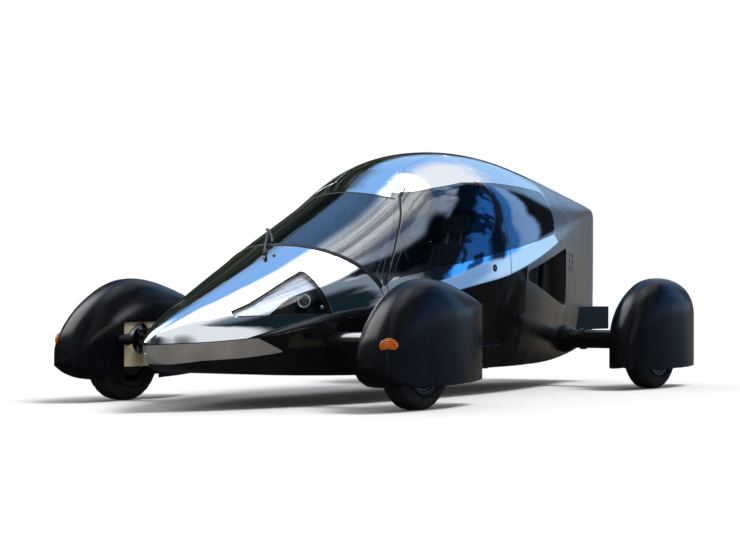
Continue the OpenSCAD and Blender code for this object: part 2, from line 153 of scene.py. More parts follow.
# ------------------------------------------------------------------ triangle grids and clipping
def grid_tris(nu, nv):
    i, j = np.meshgrid(np.arange(nu - 1), np.arange(nv - 1), indexing="ij")
    a = (i * nv + j).ravel(); b = a + 1; c = a + nv; d = c + 1
    # diagonals alternate so that the surface has no bias
    alt = ((i + j) % 2 == 0).ravel()
    t1 = np.where(alt[:, None], np.stack([a, c, d], 1), np.stack([a, c, b], 1))
    t2 = np.where(alt[:, None], np.stack([a, d, b], 1), np.stack([b, c, d], 1))
    return np.concatenate([t1, t2])


def upper_grid(x0, x1, step=.011, nth=121, th0=0., th1=math.pi):
    nx = max(3, int(round(abs(x1 - x0) / step)) + 1)
    X, T = np.meshgrid(np.linspace(x0, x1, nx), np.linspace(th0, th1, nth), indexing="ij")
    P = upper_pt(X.ravel(), T.ravel())
    return P, upper_n(P), grid_tris(nx, nth)


def lower_grid(x0, x1, step=.014, ns=28, nbelly=22):
    nx = max(3, int(round(abs(x1 - x0) / step)) + 1)
    e = 1e-6
    tt = np.concatenate([np.linspace(0, 1, ns), np.linspace(1 + e, 2, nbelly), np.linspace(2 + e, 3, ns)])
    X, T = np.meshgrid(np.linspace(x0, x1, nx), tt, indexing="ij")
    P = lower_pt(X.ravel(), T.ravel())
    return P, lower_n(X.ravel(), T.ravel()), grid_tris(nx, len(tt))


def outward(P, N, F):
    """orders each triangle so that it faces along N"""
    g = np.cross(P[F[:, 1]] - P[F[:, 0]], P[F[:, 2]] - P[F[:, 0]])
    flip = (g * N[F].mean(1)).sum(1) < 0
    F = F.copy()
    F[flip] = F[flip][:, [0, 2, 1]]
    return F


def cut(P, N, F, phi, c=0.0, keep_both=False):
    """splits triangles along phi = c and keeps the part with phi > c"""
    v = phi(P) - c
    v = np.where(np.abs(v) < 1e-7, 1e-7, v)
    pos = v > 0
    k = pos[F].sum(1)
    whole = F[k == 3]
    out = [whole]
    other = [F[k == 0]]
    mixed = F[(k == 1) | (k == 2)]
    if len(mixed):
        mp = pos[mixed]
        lone = np.where(mp.sum(1) == 1, mp.argmax(1), (~mp).argmax(1))
        r = np.arange(len(mixed))
        a, b, d = mixed[r, lone], mixed[r, (lone + 1) % 3], mixed[r, (lone + 2) % 3]
        lone_pos = mp.sum(1) == 1
        edges = np.concatenate([np.stack([a, b], 1), np.stack([a, d], 1)])
        key = np.sort(edges, 1)
        uniq, inv = np.unique(key, axis=0, return_inverse=True)
        inv = inv.ravel()
        w = (v[uniq[:, 0]] / (v[uniq[:, 0]] - v[uniq[:, 1]]))[:, None]
        newP = P[uniq[:, 0]] * (1 - w) + P[uniq[:, 1]] * w
        newN = N[uniq[:, 0]] * (1 - w) + N[uniq[:, 1]] * w
        newN /= np.linalg.norm(newN, axis=1)[:, None]
        base = len(P)
        m1, m2 = base + inv[:len(a)], base + inv[len(a):]
        P, N = np.concatenate([P, newP]), np.concatenate([N, newN])
        tip = np.stack([a, m1, m2], 1)
        q1, q2 = np.stack([m1, b, d], 1), np.stack([m1, d, m2], 1)
        out += [tip[lone_pos], q1[~lone_pos], q2[~lone_pos]]
        other += [tip[~lone_pos], q1[lone_pos], q2[lone_pos]]
    F = np.concatenate(out + (other if keep_both else []))
    used = np.unique(F)
    m = -np.ones(len(P), int); m[used] = np.arange(len(used))
    return P[used], N[used], m[F]


def sd_poly(poly):
    """signed distance in the side view, positive inside"""
    A = np.asarray(poly, float); B = np.roll(A, -1, 0)
    def f(P):
        q = P[:, [0, 2]]
        d2 = np.full(len(q), 1e9); inside = np.zeros(len(q), bool)
        for a, b in zip(A, B):
            e, w = b - a, q - a
            t = np.clip((w @ e) / max(e @ e, 1e-12), 0, 1)
            d = w - t[:, None] * e
            d2 = np.minimum(d2, (d * d).sum(1))
            cross = ((a[1] > q[:, 1]) != (b[1] > q[:, 1]))
            with np.errstate(divide="ignore", invalid="ignore"):
                xi = (b[0] - a[0]) * (q[:, 1] - a[1]) / (b[1] - a[1]) + a[0]
            inside ^= cross & (q[:, 0] < xi)
        return np.where(inside, 1, -1) * np.sqrt(d2)
    return f


def inset(poly, d):
    """polygon moved inwards by d, with mitred corners"""
    A = np.asarray(poly, float)
    area = .5 * np.sum(A[:, 0] * np.roll(A[:, 1], -1) - np.roll(A[:, 0], -1) * A[:, 1])
    s = 1 if area > 0 else -1
    e = np.roll(A, -1, 0) - A
    e /= np.linalg.norm(e, axis=1)[:, None]
    nrm = s * np.stack([-e[:, 1], e[:, 0]], 1)
    n0 = np.roll(nrm, 1, 0)
    m = n0 + nrm
    m /= np.maximum((m * nrm).sum(1), .25)[:, None]
    return A + d * m


def rounded(poly, r):
    f = sd_poly(inset(poly, r))
    return lambda P: f(P) + r


def neg(f):
    return lambda P: -f(P)


def either(*fs):
    return lambda P: np.maximum.reduce([f(P) for f in fs])


def every(*fs):
    return lambda P: np.minimum.reduce([f(P) for f in fs])


def plus(f, d):
    return lambda P: f(P) + d


def ahead(a):
    return lambda P: P[:, 0] - a


def behind(a):
    return lambda P: a - P[:, 0]


def over_belt(d=0.):
    return lambda P: P[:, 2] - chine(P[:, 0]) - d


def left_of(a):
    return lambda P: P[:, 1] - a


def right_of(a):
    return lambda P: a - P[:, 1]


def mirrored(f):
    return lambda P: f(P * [1, -1, 1])


def line_above(pts):
    """positive above and ahead of a polyline in the side view, extended at both ends"""
    A = np.asarray(pts, float)
    A = np.vstack([A[0] + (A[0] - A[1]) * 9, A, A[-1] + (A[-1] - A[-2]) * 9])
    def f(P):
        q = P[:, [0, 2]]
        best = np.full(len(q), 1e9); sign = np.ones(len(q))
        for a, b in zip(A[:-1], A[1:]):
            e, w = b - a, q - a
            t = np.clip((w @ e) / (e @ e), 0, 1)
            d = w - t[:, None] * e
            dd = np.sqrt((d * d).sum(1))
            s = np.sign(e[1] * w[:, 0] - e[0] * w[:, 1])
            near = dd < best
            best = np.where(near, dd, best); sign = np.where(near, s, sign)
        return best * sign
    return f


def screen_base(y):
    return -.10 - .2 * np.sqrt(y * y + .0004) + .004 - .4 * y * y


def screen_top(y):
    return -.78 - .9 * y * y


def base_ahead(P):
    return (P[:, 0] - screen_base(P[:, 1])) * .93


def top_behind(P):
    return (screen_top(P[:, 1]) - P[:, 0]) * .9


# ------------------------------------------------------------------ objects
def add(name, verts, faces, mats, body, mat_index=None, normals=None, smooth=True):
    me = bpy.data.meshes.new(name)
    verts = np.asarray(verts, float)
    me.from_pydata(verts.tolist(), [], [list(map(int, f)) for f in faces])
    for m in (mats if isinstance(mats, (list, tuple)) else [mats]):
        me.materials.append(m)
    if mat_index is not None:
        me.polygons.foreach_set("material_index", np.asarray(mat_index, np.int32))
    me.polygons.foreach_set("use_smooth", np.full(len(me.polygons), smooth))
    me.update()
    if normals is not None:
        me.normals_split_custom_set(normals.tolist())
    elif smooth:
        me.set_sharp_from_angle(angle=.7)
    o = bpy.data.objects.new(name, me)
    bpy.context.scene.collection.objects.link(o)
    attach(o, body)
    return o


def edge_loops(F):
    """boundary edges of a triangle set, in the triangles' own direction"""
    E = np.concatenate([F[:, [0, 1]], F[:, [1, 2]], F[:, [2, 0]]])
    key = np.sort(E, 1)
    _, inv, cnt = np.unique(key, axis=0, return_inverse=True, return_counts=True)
    return E[cnt[inv.ravel()] == 1]


def weld(P, N, F, tol=2e-6):
    q = np.round(P / tol).astype(np.int64)
    _, first, inv = np.unique(q, axis=0, return_index=True, return_inverse=True)
    F = inv.ravel()[F]
    ok = (F[:, 0] != F[:, 1]) & (F[:, 1] != F[:, 2]) & (F[:, 0] != F[:, 2])
    return P[first], N[first], F[ok]


def panel_mesh(P, N, F, phis, edge=.0022, splits=()):
    """clips a grid to every phi > 0, with a rounded lip along the cut"""
    for f in splits:
        P, N, F = cut(P, N, F, f, 0., keep_both=True)
    for f in phis:
        P, N, F = cut(P, N, F, f, -.02)
    if edge:
        for f in phis:
            P, N, F = cut(P, N, F, f, edge, keep_both=True)
    for f in phis:
        P, N, F = cut(P, N, F, f, 0.0)
    F = outward(P, N, F)
    N0 = N.copy()
    if edge:
        h = 2e-4
        d = np.full(len(P), 1e9); g = np.zeros_like(P)
        for f in phis:
            v = f(P)
            m = v < np.minimum(d, edge * 1.02)
            if m.any():
                q = P[m]; n = N0[m]
                gr = np.stack([f(q + [h, 0, 0]) - f(q - [h, 0, 0]), f(q + [0, h, 0]) - f(q - [0, h, 0]),
                               f(q + [0, 0, h]) - f(q - [0, 0, h])], -1) / (2 * h)
                gr -= n * (gr * n).sum(1)[:, None]
                gr /= np.maximum(np.linalg.norm(gr, axis=1), 1e-9)[:, None]
                d[m] = v[m]; g[m] = -gr
        w = np.clip(1 - d / edge, 0, 1)
        N = N0 + g * w[:, None] * 1.1
        N /= np.linalg.norm(N, axis=1)[:, None]
        P = P - N0 * (w ** 2 * edge * .55)[:, None]
    return P, N, F, N0


def shell(name, grids, phis, t, mats, body, region=None, edge=.0022, proud=0., replaces=(), splits=()):
    """panel with thickness t from one or more grids; region(P) gives a material index for outside faces"""
    Vs, Fs, Ns, Ms = [], [], [], []
    base = 0
    for P, N, F in grids:
        P, N, F, N0 = panel_mesh(P, N, F, phis, edge, splits)
        if not len(F):
            continue
        if proud:
            P = P + N0 * proud
        n = len(P)
        inner = P - N0 * t
        rim = edge_loops(F)
        mi = np.zeros(len(F), int) if region is None else region(P[F].mean(1))
        Vs += [P, inner]
        tri_n = N[F].reshape(-1, 3)
        inn = -N0[F[:, ::-1]].reshape(-1, 3)
        a, b = rim[:, 0], rim[:, 1]
        quads = np.stack([b, a, a + n, b + n], 1)
        e1 = P[b] - P[a]; e2 = inner[a] - P[a]
        qn = np.cross(e2, e1); qn /= np.maximum(np.linalg.norm(qn, axis=1), 1e-12)[:, None]
        Fs += [list(F + base), list(F[:, ::-1] + n + base), list(quads + base)]
        Ns += [tri_n, inn, np.repeat(qn, 4, 0)]
        last = (len(mats) - 1) if isinstance(mats, (list, tuple)) and len(mats) > 1 else 0
        edge_mi = np.zeros(len(rim), int)
        if region is not None:
            edge_mi = region((P[a] + P[b]) / 2)
        Ms += [mi, np.full(len(F), last), edge_mi]
        base += 2 * n
    V = np.concatenate(Vs) + [FX, 0, 0]
    faces = [f for fl in Fs for f in fl]
    o = add(name, V, faces, mats, body, np.concatenate(Ms), np.concatenate(Ns))
    if replaces:
        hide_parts(*replaces)
    return o


# ------------------------------------------------------------------ materials
def new_mat(name):
    m = bpy.data.materials.new(name)
    m.use_nodes = True
    nt = m.node_tree
    return m, nt, nt.nodes["Principled BSDF"]


def node(nt, kind, **kw):
    n = nt.nodes.new(kind)
    for k, v in kw.items():
        if k in n.inputs:
            n.inputs[k].default_value = v
        else:
            setattr(n, k, v)
    return n


def coords(nt, scale=(1, 1, 1)):
    tc = nt.nodes.new("ShaderNodeTexCoord")
    mp = nt.nodes.new("ShaderNodeMapping")
    mp.inputs["Scale"].default_value = scale
    nt.links.new(tc.outputs["Object"], mp.inputs["Vector"])
    return mp.outputs["Vector"]


def noise(nt, scale, detail=4., rough=.55, vec=None, stretch=(1, 1, 1)):
    n = node(nt, "ShaderNodeTexNoise", Scale=scale, Detail=detail, Roughness=rough)
    nt.links.new(vec if vec is not None else coords(nt, stretch), n.inputs["Vector"])
    return n.outputs["Fac"]


def ramp(nt, fac, lo, hi, a=.35, b=.65):
    n = node(nt, "ShaderNodeMapRange")
    n.inputs["From Min"].default_value = a; n.inputs["From Max"].default_value = b
    n.inputs["To Min"].default_value = lo; n.inputs["To Max"].default_value = hi
    nt.links.new(fac, n.inputs["Value"])
    return n.outputs["Result"]


def mix(nt, fac, c1, c2):
    n = nt.nodes.new("ShaderNodeMix"); n.data_type = "RGBA"
    nt.links.new(fac, n.inputs["Factor"])
    for s, c in ((6, c1), (7, c2)):
        if hasattr(c, "is_output"):
            nt.links.new(c, n.inputs[s])
        else:
            n.inputs[s].default_value = (*c, 1)
    return n.outputs[2]


def bump(nt, bsdf, height, strength, dist):
    n = node(nt, "ShaderNodeBump", Strength=strength, Distance=dist)
    nt.links.new(height, n.inputs["Height"])
    nt.links.new(n.outputs["Normal"], bsdf.inputs["Normal"])
    return n


def finish(name, base, base2, rough, metallic=0., coat=0., coat_rough=.04, cscale=6., rscale=5., bscale=0., bstr=0.,
           bdist=.001, spec=.5, stretch=(1, 1, 1), sheen=0., detail=5., ior=1.5):
    """surface with colour and gloss that vary a little, and a fine bump"""
    m, nt, b = new_mat(name)
    nt.links.new(mix(nt, ramp(nt, noise(nt, cscale, detail, stretch=stretch), 0, 1), base, base2), b.inputs["Base Color"])
    nt.links.new(ramp(nt, noise(nt, rscale, 4, stretch=stretch), rough[0], rough[1], .3, .7), b.inputs["Roughness"])
    b.inputs["Metallic"].default_value = metallic
    b.inputs["Coat Weight"].default_value = coat
    b.inputs["Coat Roughness"].default_value = coat_rough
    b.inputs["Specular IOR Level"].default_value = spec
    b.inputs["IOR"].default_value = ior
    if sheen:
        b.inputs["Sheen Weight"].default_value = sheen
        b.inputs["Sheen Roughness"].default_value = .4
    if bstr:
        bump(nt, b, noise(nt, bscale, 3, stretch=stretch), bstr, bdist)
    return m


CHROME = finish("mirror_film", (.84, .86, .89), (.78, .80, .84), (.012, .035), metallic=1., cscale=1.3, rscale=2.5,
                bscale=2.0, bstr=.07, bdist=.02)
ALU = finish("polished_aluminium", (.40, .395, .39), (.32, .315, .31), (.20, .32), metallic=1., cscale=3., rscale=5.,
             bscale=36., bstr=.04, bdist=.003, stretch=(1, 1, .06))
BLACK = finish("gloss_black", (.0028, .0030, .0036), (.005, .0054, .0062), (.05, .11), coat=.35, coat_rough=.03, cscale=4., bscale=3., bstr=.05,
               bdist=.01)
SATIN = finish("satin_black", (.0022, .0025, .0034), (.0036, .0042, .0054), (.24, .30), coat=.06, coat_rough=.16, spec=.10, cscale=7., rscale=9., bscale=420.,
               bstr=.008, bdist=.0003)
PLASTIC = finish("black_plastic", (.008, .008, .0085), (.014, .014, .015), (.42, .58), cscale=30., rscale=40., bscale=700., bstr=.12,
                 bdist=.0005)
RUBBER = finish("rubber_seal", (.0014, .0014, .0016), (.003, .003, .003), (.5, .65), spec=.25, cscale=60., rscale=50., bscale=900., bstr=.1,
                bdist=.0004)
LINER = finish("cabin_liner", (.010, .0105, .012), (.018, .019, .021), (.7, .9), cscale=80., rscale=60., bscale=1500., bstr=.25,
               bdist=.0006)
STEEL = finish("machined_steel", (.40, .40, .41), (.30, .30, .31), (.25, .42), metallic=1., cscale=12., rscale=30., bscale=180., bstr=.08,
               bdist=.0008, stretch=(1, 6, 1))
RIM = finish("rim_black", (.006, .006, .0066), (.011, .011, .012), (.30, .42), coat=.3, coat_rough=.2, cscale=8., rscale=12., bscale=200., bstr=.05, bdist=.0008)
LAMINATE = finish("bare_laminate", (.50, .43, .29), (.38, .32, .21), (.5, .7), cscale=16., rscale=18., bscale=160., bstr=.2, bdist=.0012)
ENGINE = finish("cast_block", (.20, .20, .21), (.13, .13, .135), (.5, .7), metallic=.6, cscale=14., rscale=20., bscale=160., bstr=.3, bdist=.001)
CHIN = finish("grey_satin", (.25, .235, .215), (.16, .15, .14), (.26, .36), metallic=.25, coat=.3, coat_rough=.1, cscale=5., rscale=9., bscale=60.,
              bstr=.03, bdist=.001)


def glass_mat(name, tint, rough=0.01, ior=1.5):
    """tinted glass; rays from lamps pass straight through, so that what is inside is lit"""
    m, nt, b = new_mat(name)
    b.inputs["Base Color"].default_value = (*tint, 1)
    b.inputs["Transmission Weight"].default_value = 1.
    b.inputs["IOR"].default_value = ior
    nt.links.new(ramp(nt, noise(nt, 3., 4), rough, rough + .012, .3, .7), b.inputs["Roughness"])
    bump(nt, b, noise(nt, 1.6, 2), .05, .02)
    tr = node(nt, "ShaderNodeBsdfTransparent")
    tr.inputs["Color"].default_value = (*[math.sqrt(c) for c in tint], 1)
    lp = nt.nodes.new("ShaderNodeLightPath")
    mx = nt.nodes.new("ShaderNodeMixShader")
    nt.links.new(lp.outputs["Is Shadow Ray"], mx.inputs[0])
    nt.links.new(b.outputs[0], mx.inputs[1]); nt.links.new(tr.outputs[0], mx.inputs[2])
    nt.links.new(mx.outputs[0], nt.nodes["Material Output"].inputs["Surface"])
    return m


GLASS = glass_mat("tinted_glass", (.44, .53, .62), ior=1.62)
CLEAR = glass_mat("clear_cover", (.90, .94, .96))
COVER = glass_mat("lamp_cover", (.92, .95, .97), ior=1.27)


def lamp_mat(name, c1, c2, glow=0.):
    """ribbed coloured lens"""
    m, nt, b = new_mat(name)
    wv = node(nt, "ShaderNodeTexWave", Scale=38., Distortion=.6, Detail=2.)
    wv.bands_direction = "Z"
    nt.links.new(coords(nt), wv.inputs["Vector"])
    nt.links.new(mix(nt, ramp(nt, wv.outputs["Fac"], 0, 1, .2, .9), c1, c2), b.inputs["Base Color"])
    nt.links.new(ramp(nt, noise(nt, 40., 3), .10, .2, .3, .7), b.inputs["Roughness"])
    b.inputs["Coat Weight"].default_value = .2
    b.inputs["Coat Roughness"].default_value = .06
    b.inputs["Subsurface Weight"].default_value = .25
    b.inputs["Subsurface Radius"].default_value = (.02, .008, .003)
    if glow:
        nt.links.new(mix(nt, ramp(nt, wv.outputs["Fac"], 0, 1, .3, .9), c1, c2), b.inputs["Emission Color"])
        b.inputs["Emission Strength"].default_value = glow
    bump(nt, b, wv.outputs["Fac"], .35, .002)
    return m


AMBER = lamp_mat("amber_lens", (.10, .010, .0005), (.52, .115, .003), .04)
LAMP_BLACK = finish("lamp_black", (.0030, .0030, .0034), (.0055, .0055, .0060), (.50, .62), spec=.12, cscale=20., rscale=20., bscale=500., bstr=.05, bdist=.0003)
LAMP_RING = finish("lamp_ring", (.50, .52, .55), (.38, .40, .43), (.30, .40), metallic=.35, cscale=20., rscale=20., bscale=300., bstr=.03, bdist=.0003)
BAND = finish("window_band", (.0030, .0036, .0050), (.005, .0058, .0075), (.03, .06), coat=.4, coat_rough=.02, ior=1.62, cscale=3., bscale=2., bstr=.03, bdist=.01)
TRAY = finish("lamp_tray", (.17, .185, .22), (.125, .14, .17), (.30, .42), metallic=.8, cscale=9., rscale=14., bscale=70., bstr=.06, bdist=.001)
# intake lining: a dark brown of its own, made darker still as painted shade of the deep throat
DUCT_LINING_PAINTED_SHADE = finish("duct_lining_painted_shade", (.022, .019, .016), (.012, .0105, .009), (.55, .75), cscale=6., rscale=20., bscale=90., bstr=.2, bdist=.001)

# ------------------------------------------------------------------ body panels
SEAM = .0016
DOOR_FRONT = PILLAR + [-.005, -.006]
BELT_PTS = np.array([[x, float(chine(np.array(x))) + .004] for x in np.linspace(-.755, -.400, 5)])
DOOR = np.vstack([[[-.344, float(chine(np.array(-.344))) + .004]], DOOR_FRONT,
                  [[-.955, 1.128], [-.955, 1.5], [-1.550, 1.5], [-1.550, .285], [-.755, .285]], BELT_PTS])
HINGE_Y = .170
in_door = sd_poly(DOOR)
left_door = every(in_door, left_of(HINGE_Y + .006))
pillar_fwd = line_above(PILLAR)
not_left_door = either(plus(neg(in_door), -.007), right_of(HINGE_Y))
not_right_door = mirrored(not_left_door)
screen_side = every(plus(pillar_fwd, -.020))
in_screen = every(plus(neg(base_ahead), 0), plus(neg(top_behind), 0), screen_side)
quarter_in = rounded(QUARTER, .03)
window_in = rounded(DOOR_WINDOW, .022)
headlight_in = rounded(HEADLIGHT, .012)
intake_in = rounded(INTAKE, .03)
off_quarter = either(plus(neg(quarter_in), -.0015), lambda P: .06 - np.abs(P[:, 1]))
off_head = either(plus(neg(headlight_in), -.0015))
off_intake = neg(intake_in)
off_screen = plus(neg(in_screen), -.001)
# dark band that runs from the front pillar to the rear quarter light, on the glass line
BAND_IN = rounded(np.array([[-.330, .600], [-.352, .668], [-.466, .775], [-.592, .882], [-.761, 1.018], [-.876, 1.106], [-.960, 1.1130], [-1.030, 1.1265], [-1.100, 1.1385], [-1.200, 1.1530],
    [-1.332, 1.1735], [-1.490, 1.1795], [-1.596, 1.1805], [-1.743, 1.1785], [-2.018, 1.1705], [-2.290, 1.1545], [-2.341, 1.1415], [-2.3495, 1.100],
    [-2.3315, .960], [-2.301, .9045], [-2.000, .8615], [-1.696, .8215], [-1.596, .8085], [-1.490, .7955], [-1.190, .7555], [-.796, .6995], [-.428, .6505]]), .004)
# polished metal behind this line, bright film ahead of it
METAL = np.array([[-2.470, .820], [-2.436, .836], [-2.307, .902], [-2.345, .960], [-2.362, 1.110], [-2.372, 1.160], [-2.385, 1.400], [-3.6, 1.4], [-3.6, .82]])
metal_in = sd_poly(METAL)
CHIN_IN = rounded(np.array([[1.02, .345], [.80, .340], [.60, .345], [.472, .353], [.440, .339], [.321, .284], [.440, .268], [.557, .257], [.744, .249], [.832, .238], [.93, .228],
    [1.02, .235]]), .004)


def gap_hole(xc, zc, r):
    """outside a round hole seen from the side"""
    return lambda P: np.hypot(P[:, 0] - xc, P[:, 2] - zc) - r


sided = lambda P: np.abs(P[:, 1]) - .06
in_band = every(BAND_IN, sided)


def roof_zone(P):
    return np.where(in_band(P) > 0, 1, np.where(metal_in(P) > 0, 2, 0))


nose = shell("nose_cowl_skin", [upper_grid(.989, -.37, .012)], [over_belt(SEAM), plus(base_ahead, -SEAM), off_head], .004,
             [CHROME, LINER], ROOT, replaces=["nose_cowl"])
roof = shell("roof_skin", [upper_grid(-.09, -2.4485, .013)],
             [over_belt(SEAM), plus(neg(base_ahead), -SEAM), off_screen, not_left_door, not_right_door, off_quarter], .012,
             [CHROME, BAND, ALU, LINER], ROOT, region=roof_zone, splits=[in_band, metal_in], edge=.0010, replaces=["roof_shell"])
tail_zone_low = [behind(-1.8015), off_intake, gap_hole(-WB, .284, .058)]
tail = shell("tail_skin", [upper_grid(-2.4515, -3.4395, .020, 91), lower_grid(-1.80, -3.4395, .023)],
             [either(behind(-2.4515), neg(over_belt(-SEAM))), *tail_zone_low], .012, [ALU, LINER], ROOT,
             replaces=["tail_shell"])
tub = shell("lower_tub_skin", [lower_grid(.989, -1.7985, .019)],
            [neg(over_belt(-SEAM)), ahead(-1.7985), not_left_door, not_right_door, gap_hole(0., .330, .053)], .014,
            [BLACK, CHIN, LINER], ROOT, region=lambda P: np.where(CHIN_IN(P) > 0, 1, 0), splits=[CHIN_IN], replaces=["lower_tub"])
screen = shell("windscreen_glass", [upper_grid(-.09, -.95, .014)], [in_screen], .005, GLASS, ROOT, replaces=["windscreen"])


def door_zone(P):
    return np.where(P[:, 2] < chine(P[:, 0]) + .001, 1, np.where(in_band(P) > 0, 2, 0))


for side, sgn in (("left", 1), ("right", -1)):
    body = side + "_door_body"
    m = (lambda f: f) if sgn > 0 else mirrored
    lo_a, hi_a = (0, math.pi / 2) if sgn > 0 else (math.pi / 2, math.pi)
    shell(side + "_door_skin", [upper_grid(-.33, -1.552, th0=lo_a, th1=hi_a, nth=90), lower_grid(-.74, -1.552, .011)],
          [m(left_door), m(plus(neg(window_in), -.0015))], .022, [CHROME, BLACK, BAND, LINER], body, region=door_zone,
          splits=[in_band, over_belt(.001)], edge=.0010, replaces=[side + "_door"])
    shell(side + "_door_pane", [upper_grid(-.41, -1.50, .014, th0=lo_a, th1=hi_a, nth=80)],
          [m(every(window_in, left_of(.06)))], .005, GLASS, body, replaces=[side + "_door_glass"])
q = shell("quarter_panes", [upper_grid(-1.58, -2.36, .014)], [lambda P: np.where(np.abs(P[:, 1]) > .06, quarter_in(P), -.05)], .005, GLASS, ROOT,
          replaces=["quarter_windows"])
hc = shell("headlight_lenses", [upper_grid(.57, .02, .008)], [headlight_in], .004, COVER, ROOT, replaces=["headlight_covers"])

# end of the tail: the flat cap that closes the panel
tt = np.linspace(0, 1, 26)
xe = np.full(26, -3.4392)
half = np.concatenate([lower_pt(xe, 1 - tt)[:, 1:], upper_pt(xe, tt * math.pi / 2)[1:, 1:]])
ring = np.concatenate([half, half[::-1][1:] * [-1, 1]])
cz = .66
rings, n = [], len(ring)
for k, dx in ((1., 0.), (.985, -.0006), (.955, -.0008), (.6, -.0008), (.25, -.0008)):
    rings.append(np.column_stack([np.full(n, -3.4392 + dx), ring[:, 0] * k, cz + (ring[:, 1] - cz) * k]))
V = np.concatenate(rings + [np.array([[-3.440, 0, cz]])])
F = [(r * n + a, r * n + (a + 1) % n, (r + 1) * n + (a + 1) % n, (r + 1) * n + a) for r in range(4) for a in range(n)]
F += [(4 * n + a, 4 * n + (a + 1) % n, 5 * n) for a in range(n)]
back = V + [.008, 0, 0]
Fb = [tuple(reversed([i + len(V) for i in f])) for f in F]
Fr = [((a + 1) % n, a, a + len(V), (a + 1) % n + len(V)) for a in range(n)]
add("tail_end_cap", np.concatenate([V, back]) + [FX, 0, 0], F + Fb + Fr, [ALU], ROOT)


# ------------------------------------------------------------------ helpers for details
def recess(name, grid, phi, d0, d1, mats, body, back=True, t=.002):
    """walls of a hole in a panel from depth d0 to d1, with a floor"""
    P, N, F, N0 = panel_mesh(*grid, [phi], edge=0)
    rim = edge_loops(F)
    n = len(P)
    a, b = rim[:, 0], rim[:, 1]
    V = np.concatenate([P - N0 * d0, P - N0 * d1])
    faces = list(np.stack([a, b, b + n, a + n], 1))
    if back:
        faces += list(F + n)
    used = np.unique(np.concatenate([np.ravel(f) for f in faces]))
    m = -np.ones(len(V), int); m[used] = np.arange(len(used))
    o = add(name, V[used] + [FX, 0, 0], [m[np.asarray(f)] for f in faces], mats, body)
    md = o.modifiers.new("wall", "SOLIDIFY"); md.thickness = t; md.offset = -1
    return o


def basis(axis):
    a = Vector(axis).normalized()
    return np.array(a.to_track_quat("Z", "Y").to_matrix())


def lathe(name, prof, origin, axis, mats, body, seg=48, mi=None, smooth=True):
    """closed solid of revolution; prof is a list of (radius, height)"""
    prof = np.asarray(prof, float)
    a = np.linspace(0, 2 * math.pi, seg, endpoint=False)
    R = basis(axis)
    V = np.stack([np.outer(prof[:, 0], np.cos(a)), np.outer(prof[:, 0], np.sin(a)), np.repeat(prof[:, 1:], seg, 1)], -1).reshape(-1, 3)
    V = V @ R.T + np.asarray(origin)
    k = len(prof)
    F, M = [], []
    for r in range(k - 1):
        for s_ in range(seg):
            F.append((r * seg + s_, r * seg + (s_ + 1) % seg, (r + 1) * seg + (s_ + 1) % seg, (r + 1) * seg + s_))
            M.append(mi[r] if mi else 0)
    if np.hypot(*(prof[0] - prof[-1])) < 1e-6:
        F = [tuple(i % ((k - 1) * seg) for i in f) for f in F]; V = V[:(k - 1) * seg]
    else:
        F.append(tuple(range(seg - 1, -1, -1))); M.append(mi[0] if mi else 0)
        F.append(tuple((k - 1) * seg + s_ for s_ in range(seg))); M.append(mi[-1] if mi else 0)
    # faces point out of the solid
    c = sum((prof[i + 1][1] - prof[i][1]) * (prof[i + 1][0] + prof[i][0]) for i in range(k - 1))
    if c < 0:
        F = [tuple(reversed(f)) for f in F]
    return add(name, V, F, mats, body, M, smooth=smooth)


def smooth_path(pts, n):
    pts = np.asarray(pts, float)
    return cr_rows(pts, np.linspace(0, len(pts) - 1, n))


def sweep(name, pts, r, mats, body, seg=14, flat=1.):
    """round bar along points, with domed ends; r may change along the way"""
    pts = np.asarray(pts, float)
    r = np.broadcast_to(np.asarray(r, float), (len(pts),)).copy()
    T = np.gradient(pts, axis=0); T /= np.linalg.norm(T, axis=1)[:, None]
    up = np.array([0, 0, 1.]) if abs(T[0, 2]) < .9 else np.array([1., 0, 0])
    u = up - T[0] * (up @ T[0]); u /= np.linalg.norm(u)
    U = [u]
    for t_ in T[1:]:
        u = u - t_ * (u @ t_); u /= np.linalg.norm(u); U.append(u)
    U = np.array(U); W = np.cross(T, U)
    # domes at both ends
    ext, er, eU, eW = [], [], [], []
    for k, q in ((1., 0.), (.92, .35), (.7, .7), (.35, .93)):
        ext.append((k, q))
    P = [pts[0] - T[0] * r[0] * q for k, q in reversed(ext)] + list(pts[1:-1]) + [pts[-1] + T[-1] * r[-1] * q for k, q in ext]
    RR = [r[0] * k for k, q in reversed(ext)] + list(r[1:-1]) + [r[-1] * k for k, q in ext]
    UU = [U[0]] * 4 + list(U[1:-1]) + [U[-1]] * 4
    WW = [W[0]] * 4 + list(W[1:-1]) + [W[-1]] * 4
    P, RR, UU, WW = map(np.asarray, (P, RR, UU, WW))
    a = np.linspace(0, 2 * math.pi, seg, endpoint=False)
    V = (P[:, None] + RR[:, None, None] * (np.cos(a)[None, :, None] * UU[:, None] * flat + np.sin(a)[None, :, None] * WW[:, None])).reshape(-1, 3)
    n = len(P)
    F = [(i * seg + s_, i * seg + (s_ + 1) % seg, (i + 1) * seg + (s_ + 1) % seg, (i + 1) * seg + s_) for i in range(n - 1) for s_ in range(seg)]
    F += [tuple(range(seg - 1, -1, -1)), tuple((n - 1) * seg + s_ for s_ in range(seg))]
    return add(name, V, F, mats, body)


def on_top(x, y, h=0.):
    """point on the upper body, h above it along the normal"""
    x, y = np.broadcast_arrays(np.asarray(x, float), np.asarray(y, float))
    P = np.stack([x, y, top_z(x, y)], -1).reshape(-1, 3)
    return P + upper_n(P) * h


def strip(name, grid, phis, t, proud, mat, body, edge=.0015):
    return shell(name, [grid], phis, t, mat, body, edge=edge, proud=proud)


